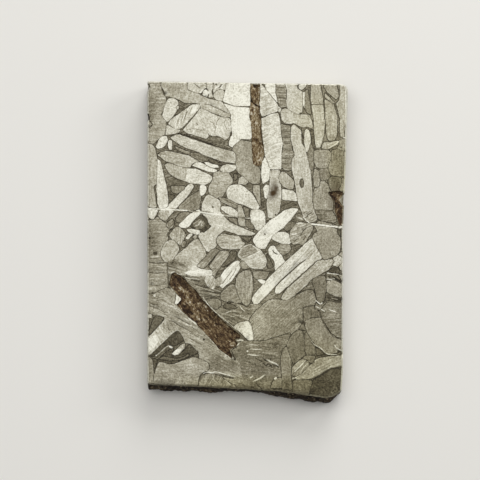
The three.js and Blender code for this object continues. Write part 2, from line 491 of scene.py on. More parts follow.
UPPER_RIGHT = (
    Grain("shaded bar, upper", DULL, ((276.5, 80), (283, 80), (286, 88.5), (285.5, 97), (286.5, 106.5),
        (281.5, 107.5), (279.5, 105), (276.5, 93)), 0, 1),
    Grain("bit under the shaded bar", BRIGHT, ((278.5, 106), (281, 108.5), (280.5, 111.5), (279, 112))),
    Grain("blunt grain", LIGHT, ((284, 78), (297.5, 78), (297.5, 87), (299.5, 90), (302, 91.5), (302, 112.5),
        (297, 113.5), (292, 112), (288, 109), (287, 104), (287.5, 90))),
    Grain("top chip", BRIGHT, ((299, 78), (308, 78), (306, 85.5), (302.5, 89.5), (299.5, 89))),
    Grain("bright sliver", WHITE, ((303.5, 92), (305, 91.5), (304.5, 109.5), (303.5, 105))),
    Grain("shaded sliver", DULL, ((305.5, 90.5), (307.5, 89), (311, 115), (307, 112.5), (305.5, 108))),
    Grain("small triangle", PALE, ((307, 114), (309.5, 115), (311.5, 118.5))),
    Grain("cross piece", LIGHT, ((281, 112.5), (282.5, 109.5), (285.5, 108.5), (294, 114), (299, 115),
        (306, 114.5), (311.5, 120.5), (312.5, 128), (306, 126.5), (303, 127.5), (294, 122.5), (290, 123.5),
        (285.5, 123), (282, 120))),
    Grain("shaded bar, lower", DULL, ((281, 123), (285, 125.5), (290, 125.5), (289.5, 138), (292, 150),
        (294.5, 155), (291, 163), (291, 169.5), (288, 170.5), (284, 169.5), (282.5, 167), (282.5, 154),
        (284, 147)), 0, 1),
    Grain("long grain", LIGHT, ((291.5, 127), (294, 124.5), (301, 130.5), (301, 143), (304.5, 148),
        (310, 170), (312, 191), (312, 198.5), (317, 219.5), (314, 221.5), (309, 222), (305.5, 221),
        (298, 201), (295, 180), (292, 169), (292, 163), (293, 158.5), (295.5, 155), (291, 138))),
    Grain("broken lower end of the long grain", MID, ((302, 211.5), (306, 212.5), (312, 210.5), (316.5, 219),
        (314, 221), (309, 221), (306, 220)), 30, 1.6, edged=False),
    Grain("tapering grain", BRIGHT, ((305, 130.5), (307, 129), (309, 131.5), (310.5, 143), (309, 149),
        (307, 152.5), (304.5, 143))),
    Grain("dark bar", DEEP, ((310, 129.5), (313.5, 129.5), (317, 148), (314, 149), (312, 146))),
    Grain("dull grain beside it", DULL, ((310.5, 143), (314, 151), (313, 170), (311, 170), (307.5, 154),
        (309.5, 150))),
    Grain("right bar, upper", PALE, ((311, 80), (319.5, 80), (322.5, 99), (322.5, 105.5), (312, 106),
        (311, 98))),
    Grain("right bar, lower", LIGHT, ((312, 105), (323, 104.5), (324.5, 123), (323.5, 135), (320, 147.5),
        (316.5, 148), (314.5, 133), (314.5, 124))),
    Grain("second right bar", PALE, ((325, 98.5), (333.5, 104.5), (337, 117), (336.5, 136), (334, 140),
        (329, 140.5), (327, 136.5))),
    Grain("top triangle", MID, ((322.5, 84), (336.5, 84), (338.5, 97), (336.5, 99.5), (327, 91.5))),
    Grain("strip under the triangle", PALE, ((324.5, 93), (335, 103.5), (333, 103), (325, 97))),
    Grain("right edge bar", PALE, ((339.5, 82), (352, 82), (352, 118), (346.5, 118), (344.5, 136.5),
        (341, 137), (340, 133), (340.5, 120), (336.5, 103), (339.5, 100.5), (340.5, 95)), brushed=0.7),
    Grain("right edge, above the pocket", DULL, ((346.5, 118), (352, 118), (352, 140), (345, 140))),
    Grain("streaked patch", PALE, ((321.5, 148), (323.5, 142.5), (331, 142.5), (337, 140.5), (338.5, 144),
        (328, 149))),
    Grain("patch beside it", MID, ((339, 140), (344.5, 139), (346, 146), (345, 152), (337, 148),
        (340, 144.5))),
    Dot("white grain at the streaks", WHITE, (337.5, 142), 1.3),
    Dot("white grain at the edge", WHITE, (344.2, 137.6), 0.9),
    Dot("dark pit by the edge", DARK, (341.2, 147.3), 1),
    Grain("smooth grain", MID, ((314.5, 150.5), (328, 150), (330.5, 153), (331.5, 158), (328, 167.5),
        (319.5, 168.5), (317, 167), (315, 163.5), (314, 158))),
    Grain("olive grain", DULL, ((332, 150), (338, 149.5), (343, 152), (352, 152), (352, 176), (338, 176),
        (331, 174.5), (329, 170), (329, 166), (331.5, 160)), brushed=0.6),
    Grain("thin upright grain", MID, ((315, 168.5), (318.5, 171), (320.5, 186), (314.5, 187.5),
        (313.5, 176))),
    Grain("dull block", DULL, ((319.5, 170), (322, 169), (327.5, 168.5), (329.5, 176), (328, 179),
        (322, 180.5), (320.5, 178))),
    Grain("block beside the pocket", MID, ((320.5, 181.5), (324, 181), (327, 183.5), (329.5, 191),
        (327, 193.5), (332, 199), (333, 205), (332.5, 210), (314.5, 209.5), (313, 200.5), (314.5, 189),
        (320, 187.5)), brushed=0.6),
    Grain("olive chip", SHADE, ((328.5, 180), (331, 176.5), (341, 178), (341, 184), (338, 188), (338, 190),
        (334, 191.5), (331, 190))),
    Grain("edge above the pocket", DULL, ((342, 178), (352, 178), (352, 192), (341, 192), (339.5, 189),
        (342, 185))),
    Seam(DEEP, 0.9, (((277.5, 92.5), (285.5, 93)), ((279, 97.5), (285.5, 98)), ((277, 87.5), (284.5, 88)),
        ((282.5, 131), (289.5, 131.5)), ((283.5, 137), (289.5, 137.5)), ((284, 143), (290.5, 143.5)),
        ((283.5, 150), (292, 150.5)), ((283, 158), (292, 158)), ((283, 164), (290.5, 164)))),
    Seam(DARK, 1.1, (((297.5, 83.5), (298, 88), (300, 90)),)),
    Seam(PALE, 0.9, (((283.5, 140), (290, 140.5)), ((283.5, 154.5), (293, 154.5)), ((283, 128),
        (289.5, 128.5)))),
    Seam(LIGHT, 1.1, (((305, 213.5), (309, 216), (310.5, 219.5)),)),
    Seam(DARK, 0.9, (((306.5, 217.5), (308, 214.5), (312, 212.5)),)),
    Seam(WHITE, 0.9, (((329, 148), (337.5, 143)),)),
    Seam(BRIGHT, 0.9, (((327, 144.5), (338, 141)),)),
)

UPPER_CENTRE_LEFT = (
    Grain("left edge bar", PALE, ((146, 143), (152, 144.5), (155, 149), (157, 160), (156, 184), (153, 186.5),
        (156.5, 207), (153, 207.5), (146, 206))),
    Grain("small pale grain", BRIGHT, ((156, 146.5), (161.5, 136.5), (166.5, 136.5), (167.5, 140),
        (165.5, 144.5), (162, 147.5), (157.5, 148.5))),
    Grain("small upright grain", BRIGHT, ((169, 140), (172, 140.5), (171.5, 150), (169.5, 149.5),
        (168.5, 146))),
    Grain("long bar across", LIGHT, ((170, 137), (176, 135), (180.5, 135.5), (214, 147), (233, 152),
        (235, 154), (235.5, 163), (223, 161.5), (210, 156.5), (204, 155.5), (200, 152), (186, 147.5),
        (180, 144.5)), -18, 0.7),
    Grain("streak under the long bar", DULL, ((174, 146), (187, 151.5), (193, 152.5), (190, 154.5),
        (177, 149.5)), -15),
    Grain("mottled streak", SHADE, ((190, 153), (198, 153.5), (210, 158.5), (207, 161), (200, 161.5),
        (192, 157)), -20, 1.2),
    Grain("leaf", PALE, ((157.5, 154.5), (161, 152.5), (167, 151), (189, 156), (199, 162), (194, 162.5),
        (191, 164), (190.5, 167), (186, 167.5), (166, 161)), -8, 0.8),
    Grain("leaf's pale end", LIGHT, ((185.5, 156), (189, 156.5), (196, 161), (191, 164), (190, 166.5),
        (186, 167)), edged=False),
    Grain("white sliver", WHITE, ((192, 165), (196, 163), (201, 163), (210, 168), (217, 170.5), (216, 172),
        (209, 171.5))),
    Grain("upper white sliver", WHITE, ((204, 162), (208, 162.5), (212, 164.5), (217, 165.5), (219, 167),
        (214, 167.5), (209, 166))),
    Grain("mottled wedge", DEEP, ((208, 159), (212, 159), (223, 164), (219.5, 165.5), (210.5, 162.5))),
    Grain("grey wedge", PALE, ((164.5, 164.5), (168, 163.5), (187, 169), (196, 169), (212, 176.5),
        (211.5, 179.5), (209.5, 182.5), (205, 184.5), (190, 183), (174, 176.5), (169, 172.5)), brushed=0.7),
    Grain("pale block", BRIGHT, ((188, 169.5), (196, 169.5), (211.5, 176.5), (211, 179.5), (209.5, 182),
        (205, 184), (190, 182.5), (186, 181)), 5, 0.9, edged=False),
    Grain("upright blade", BRIGHT, ((158, 158.5), (160, 161), (166, 186), (168, 201), (167.5, 206),
        (164, 208.5), (159.5, 208), (158, 203), (157, 188))),
    Grain("grain under the scratch", BRIGHT, ((146, 209), (156.5, 208.5), (157.5, 211), (153, 219.5),
        (149, 217.5), (146, 214))),
    Grain("slanting blade", BRIGHT, ((188.5, 185), (191.5, 184), (194, 186), (188.5, 194), (165, 220.5),
        (161.5, 219), (158.5, 215), (159, 212), (162, 209.5), (168, 208), (169.5, 204.5)), 45),
    Grain("dull foot of the blade", PALE, ((159, 212.5), (163, 210), (168, 209.5), (168.5, 213.5),
        (165, 220), (161.5, 218.5), (159, 215)), 70, 1.2, edged=False),
    Grain("grey chip in the dark", DULL, ((171, 186.5), (185, 186.5), (184, 189), (177, 193.5),
        (173.5, 192.5), (171.5, 190))),
    Grain("deep field", DEEP, ((168.5, 194), (173, 195), (175.5, 196.5), (169, 203.5))),
    Grain("small white grain", WHITE, ((200.5, 185.5), (203, 185), (206, 187), (206, 190.5), (203.5, 194.5),
        (201, 195.5), (200, 192))),
    Grain("mottled field", DULL, ((188, 197.5), (199, 191), (201, 199), (199, 204), (199.5, 208),
        (196, 209.5), (180.5, 210), (178.5, 208)), 40, 0.8),
)

CENTRE = (
    Grain("large pale grain", PALE, ((214, 173), (218, 172), (219.5, 170), (223, 172.5), (228.5, 173),
        (232.5, 180), (232.5, 183), (229, 185), (222.5, 196), (215.5, 198.5), (209.5, 193), (208.5, 190),
        (210, 185), (212.5, 181.5)), 10, 0.9),
    Grain("grain above it", LIGHT, ((220.5, 169), (222.5, 166), (227, 164.5), (235.5, 165.5), (236, 168),
        (233, 170.5), (228.5, 172), (221, 171))),
    Grain("heart of the dark diamond", SHADE, ((234, 174), (237.5, 174.5), (236.5, 179), (234.5, 181))),
    Grain("grain by the dark triangle", PALE, ((239.5, 178), (242.5, 176.5), (248.5, 182), (245.5, 184.5),
        (238, 183.5))),
    Grain("large oval", BRIGHT, ((227, 190), (229.5, 186.5), (233, 185), (239, 185), (244, 187),
        (251.5, 193.5), (259.5, 207), (258, 209), (253.5, 209), (244, 204.5), (232.5, 201.5), (228.5, 198.5),
        (227, 194.5)), 60),
    Grain("mottled ground by the oval", DULL, ((218.5, 197.5), (226, 198.5), (240, 206), (236, 208),
        (221, 201.5)), -25, 1.5),
    Grain("grain right of the oval", MID, ((253.5, 185), (259.5, 185), (260.5, 207.5), (253, 191.5))),
    Grain("white lens", WHITE, ((264.5, 156.5), (270, 170), (268.5, 180), (263, 184), (261.5, 175),
        (262.5, 163))),
    Grain("lower white lens", WHITE, ((263.5, 187.5), (266, 185), (268.5, 185), (269, 189), (266.5, 199),
        (265, 198))),
    Grain("stained grain", LIGHT, ((270.5, 170.5), (280, 170.5), (278.5, 181), (280.5, 186), (281, 192),
        (279.5, 210), (276, 216), (271, 218), (268.5, 217.5), (267, 203), (270, 190)), brushed=0.6),
    Dot("pit in the stained grain", DARK, (275.3, 214.8), 0.9),
    Grain("tilted lens", PALE, ((280, 174.5), (282, 172), (284.5, 172.5), (292, 179), (294, 182.5),
        (293, 189), (288, 188.5), (283.5, 186), (281, 183), (279.5, 178.5))),
    Grain("block under the lens", BRIGHT, ((282.5, 189), (293, 191), (295.5, 193.5), (297.5, 201),
        (282, 199.5))),
    Grain("pit in the long grain", DEEP, ((299.5, 182), (301, 178.5), (303, 179), (304, 184), (303, 187.5),
        (300.5, 187.5))),
    Grain("triangle at the edge", DULL, ((172.5, 219), (174, 222), (173, 226.5), (170, 228.5),
        (166.5, 226.5), (167, 223)), 45, 1),
    Grain("mottled wedge under the blade", SHADE, ((176.5, 217.5), (180, 213.5), (186, 212), (190, 212.5),
        (182, 221), (178.5, 222.5), (175.5, 221))),
    Grain("slanting lens", WHITE, ((178.5, 225.5), (190, 214.5), (199.5, 209.5), (200.5, 211.5),
        (198.5, 215.5), (191.5, 222), (189, 226), (185.5, 227.5), (181.5, 227.5)), 45),
    Grain("big forked grain", LIGHT, ((206, 196.5), (209, 194.5), (219, 200.5), (220.5, 204.5), (219.5, 212),
        (230.5, 223.5), (256, 234), (253, 235), (238, 234.5), (224.5, 229.5), (217, 235.5), (215, 242),
        (216.5, 245), (210, 252), (206.5, 251), (199, 237.5), (199, 234.5), (201.5, 232.5), (204.5, 233),
        (212, 227), (209, 223.5), (208, 219), (202, 213), (202, 204)), -30),
    Dot("pit in the forked grain", DEEP, (212.7, 207), 1.2),
    Grain("dark diamond", DARK, ((200.5, 214.5), (204, 216), (207, 219), (208.5, 223.5), (211.5, 226.5),
        (204, 232), (201.5, 230), (191, 227.5), (191, 224), (194, 220))),
    Grain("mottled heart of it", SHADE, ((192.5, 224), (199, 219.5), (203, 221), (204.5, 225.5),
        (201, 228.5), (196, 228.5)), 40, 1.3, edged=False),
    Grain("pale lens", BRIGHT, ((223, 206.5), (229, 207), (234, 209), (237.5, 212), (238.5, 215.5),
        (236, 217), (230.5, 215.5), (222, 209.5), (221, 207.5))),
    Grain("shade under the pale lens", DULL, ((228, 217.5), (237, 219), (238, 225), (229, 219.5))),
    Grain("grey column", PALE, ((237.5, 205), (241, 205.5), (244.5, 217.5), (245, 226.5), (240, 225.5),
        (238.5, 221), (239, 215))),
    Grain("dark column", SHADE, ((243.5, 206.5), (249, 209), (248.5, 217.5), (246, 217))),
    Grain("dark column's foot", SHADE, ((246, 219.5), (250, 220), (254.5, 229.5), (250, 228.5),
        (246, 225.5))),
    Grain("upright oval", BRIGHT, ((251, 210.5), (259, 210), (262.5, 211), (265, 215.5), (265, 224.5),
        (258.5, 230.5), (256.5, 229.5), (251.5, 220.5), (250.5, 215))),
    Grain("crossing bar", WHITE, ((298.5, 208.5), (292, 208.5), (284, 211), (276, 217.5), (271.5, 219.5),
        (258, 233), (252.5, 240.5), (257.5, 247), (261.5, 248.5), (265, 248), (271.5, 237), (278, 230.5),
        (283, 227.5), (291.5, 218)), 42, 0.8),
    Dot("pit in the crossing bar", DEEP, (265, 234.2), 1),
    Grain("end of the crossing", BRIGHT, ((279, 232), (285, 232.5), (288.5, 234.5), (291, 242), (288, 244.5),
        (283, 244), (272.5, 239), (272, 237.5))),
    Grain("shaded lens below", DULL, ((279, 244.5), (290, 245), (291, 248.5), (289, 252), (285, 254.5),
        (280, 254.5), (274.5, 248.5)), 0, 0.9),
    Grain("mottled patch", MID, ((290, 235.5), (291, 230.5), (296, 224), (300, 222), (304, 223.5),
        (309, 223.5), (312.5, 226.5), (312.5, 229.5), (303, 245.5), (298, 243), (294.5, 245), (292, 243)),
        20, 1.1),
    Grain("shade above the patch", SHADE, ((284, 229), (287, 224.5), (291, 221.5), (295.5, 222.5),
        (290, 229.5), (287, 231))),
    Grain("striped block by the pocket", SHADE, ((314.5, 210.5), (332, 211), (335, 216), (336.5, 221.5),
        (333, 222.5), (319, 219.5)), 5, 1),
    Grain("strip over the scratch", DULL, ((318.5, 221), (336, 225.5), (325, 225), (315, 223.5))),
    Grain("smooth right grain", MID, ((313.5, 226), (333, 228), (337, 229.5), (336.5, 233), (340.5, 239),
        (339.5, 251), (337, 255), (324.5, 259.5), (322, 257), (314, 243), (312.5, 238), (314, 234),
        (318.5, 231.5))),
    Grain("right edge strip", SHADE, ((341, 229), (352, 229), (352, 250), (342, 250))),
    Grain("streaked grain", PALE, ((216.5, 239), (222, 233.5), (232, 236), (238, 236), (240.5, 238),
        (242, 241), (245, 243), (241, 248), (236, 249), (223, 248.5), (217.5, 243.5)), 12, 1.1),
    Grain("mottled channel", DEEP, ((240, 236.5), (252.5, 237), (249, 242), (246.5, 242))),
    Grain("shaded parallelogram", DULL, ((196.5, 265.5), (212, 250), (216, 248.5), (219, 250), (206, 266),
        (201.5, 268.5)), 48, 0.9),
    Grain("second parallelogram", MID, ((220.5, 251), (229, 251.5), (228, 256), (217, 271), (214.5, 277),
        (212.5, 274), (213, 270), (209, 267)), 48, 1),
    Grain("dark parallelogram", DEEP, ((230.5, 251), (237, 251), (235.5, 259.5), (224.5, 267),
        (221.5, 266.5), (229, 256.5)), 48, 0.9),
    Grain("white blade", WHITE, ((238.5, 260.5), (240.5, 264.5), (239.5, 269), (231.5, 280.5), (222, 288),
        (219.5, 285), (221, 276), (224.5, 270.5), (234.5, 262)), 48, 1.2),
    Grain("grey foot of the white blade", PALE, ((215.5, 281.5), (218, 278), (221, 277), (222, 281),
        (219.5, 286), (216, 285)), edged=False),
    Grain("round mottled grain", LIGHT, ((241, 249), (245, 245.5), (250, 244), (260.5, 250), (265.5, 257),
        (266.5, 262), (265, 266.5), (262, 269), (251, 268), (238.5, 256.5), (238.5, 253)), 22, 1.1),
    Grain("shade in the round grain", DULL, ((240, 255), (242, 250.5), (246, 247), (251, 245.5), (258, 251),
        (243, 258)), 22, 1.4, edged=False),
    Grain("speckled grain", MID, ((240, 263), (242.5, 261), (249.5, 268), (243, 269), (240.5, 266))),
    Grain("shaded channel", DEEP, ((267, 252.5), (273.5, 266.5), (270.5, 269), (267, 268))),
    Grain("hooked grain", WHITE, ((268.5, 249.5), (271, 246.5), (274, 246), (277, 251), (281, 255),
        (285, 262.5), (276, 272), (275, 268), (275.5, 264), (274.5, 260.5), (269, 253.5)), 60, 0.6),
    Grain("twin bars", BRIGHT, ((312, 238), (272, 275), (254.5, 294.5), (252, 299.5), (254, 303.5),
        (258, 303.5), (275, 286), (276.5, 288), (275, 291), (276, 293.5), (280, 292.5), (316, 260.5),
        (322, 258.5)), 48, 0.9),
    Grain("third bar", PALE, ((318.5, 261), (322, 260), (326, 261), (331, 259), (334, 261), (329, 269),
        (310, 279.5), (307.5, 284), (290, 298.5), (284, 300), (281.5, 298.5), (283, 294.5), (288, 288.5)),
        42, 0.8),
    Grain("leaf with streaks", MID, ((245, 270.5), (250, 270.5), (252.5, 280), (253, 287), (249.5, 303),
        (247, 306), (243, 303), (236.5, 292), (235.5, 285), (236.5, 279), (239, 274)), 88, 1),
    Grain("small grey grain", DULL, ((252.5, 271.5), (270, 272), (266, 279), (257, 279), (253.5, 276.5))),
    Grain("white sliver under it", WHITE, ((257.5, 280), (262, 280), (265.5, 281.5), (264.5, 283.5),
        (261, 283))),
    Grain("dull ground left of the leaf", DULL, ((222, 292), (229, 286), (233, 284), (235, 287), (236, 293),
        (241.5, 303), (236, 303), (231, 300.5), (226, 301.5), (222, 300), (220.5, 296.5)), 20, 0.7),
    Grain("diamond", PALE, ((187, 247), (195.5, 238.5), (198.5, 240), (205, 251), (206, 255), (195.5, 265.5),
        (199, 269), (192, 270.5), (182, 261.5), (173, 258.5)), 0, 0.6),
    Grain("vertical streaked grain", PALE, ((169.5, 235), (175.5, 227.5), (178.5, 227), (184, 231.5),
        (185.5, 235.5), (180.5, 245.5), (171.5, 238)), 85, 1.2),
    Grain("rounded grain", PALE, ((171, 240), (174, 241), (179, 247.5), (178.5, 251), (170.5, 261.5),
        (166.5, 262), (163, 259.5), (161, 255), (162, 250), (165.5, 242.5)), 60),
    Grain("small bright grain", BRIGHT, ((186.5, 229.5), (190, 229), (200, 231), (199.5, 233), (197, 234.5),
        (188.5, 231.5))),
    Grain("bright splinter", BRIGHT, ((186, 238.5), (188.5, 235), (191.5, 233.5), (192.5, 234.5),
        (187.5, 239.5))),
    Grain("speckled splinter", MID, ((192.5, 238), (195.5, 235), (197.5, 236), (195, 239))),
    Grain("wedge of grey", DULL, ((181.5, 245), (184, 241), (186, 241.5), (184, 247), (182.5, 247))),
    Seam(LIGHT, 1.1, (((195, 226.5), (198.5, 224.5), (201, 221.5), (202.5, 222.5), (201, 225.5)),
        ((299, 227), (305, 225)))),
    Seam(PALE, 0.9, (((193.5, 224), (195.5, 222.5)),)),
    Seam(LIGHT, 1.4, (((290.5, 239.5), (294, 236.5)), ((292, 231), (297, 227.5)))),
    Seam(DEEP, 1.4, (((303, 240.5), (306, 236)),)),
    Seam(DEEP, 1.1, (((294, 241.5), (297.5, 239)),)),
    Seam(DARK, 0.9, (((300.5, 236), (303, 231), (307, 227.5)),)),
    Seam(WHITE, 1.4, (((291.5, 234.5), (297, 233.5)),)),
    Seam(BRIGHT, 1.1, (((296.5, 223.5), (303, 223.5)),)),
    Seam(PALE, 1.4, (((296, 216.5), (303, 219.5)),)),
    Seam(DULL, 0.9, (((222, 284), (232, 270.5)),)),
    Seam(DULL, 0.7, (((229, 280), (233.5, 274), (236.5, 268)),)),
    Seam(DARK, 1.1, (((272.5, 250), (274, 252.5), (277.5, 254.5)),)),
    Seam(DARK, 1.4, (((275, 287.5), (280, 281.5), (300, 263.5), (306, 259.5)),)),
)

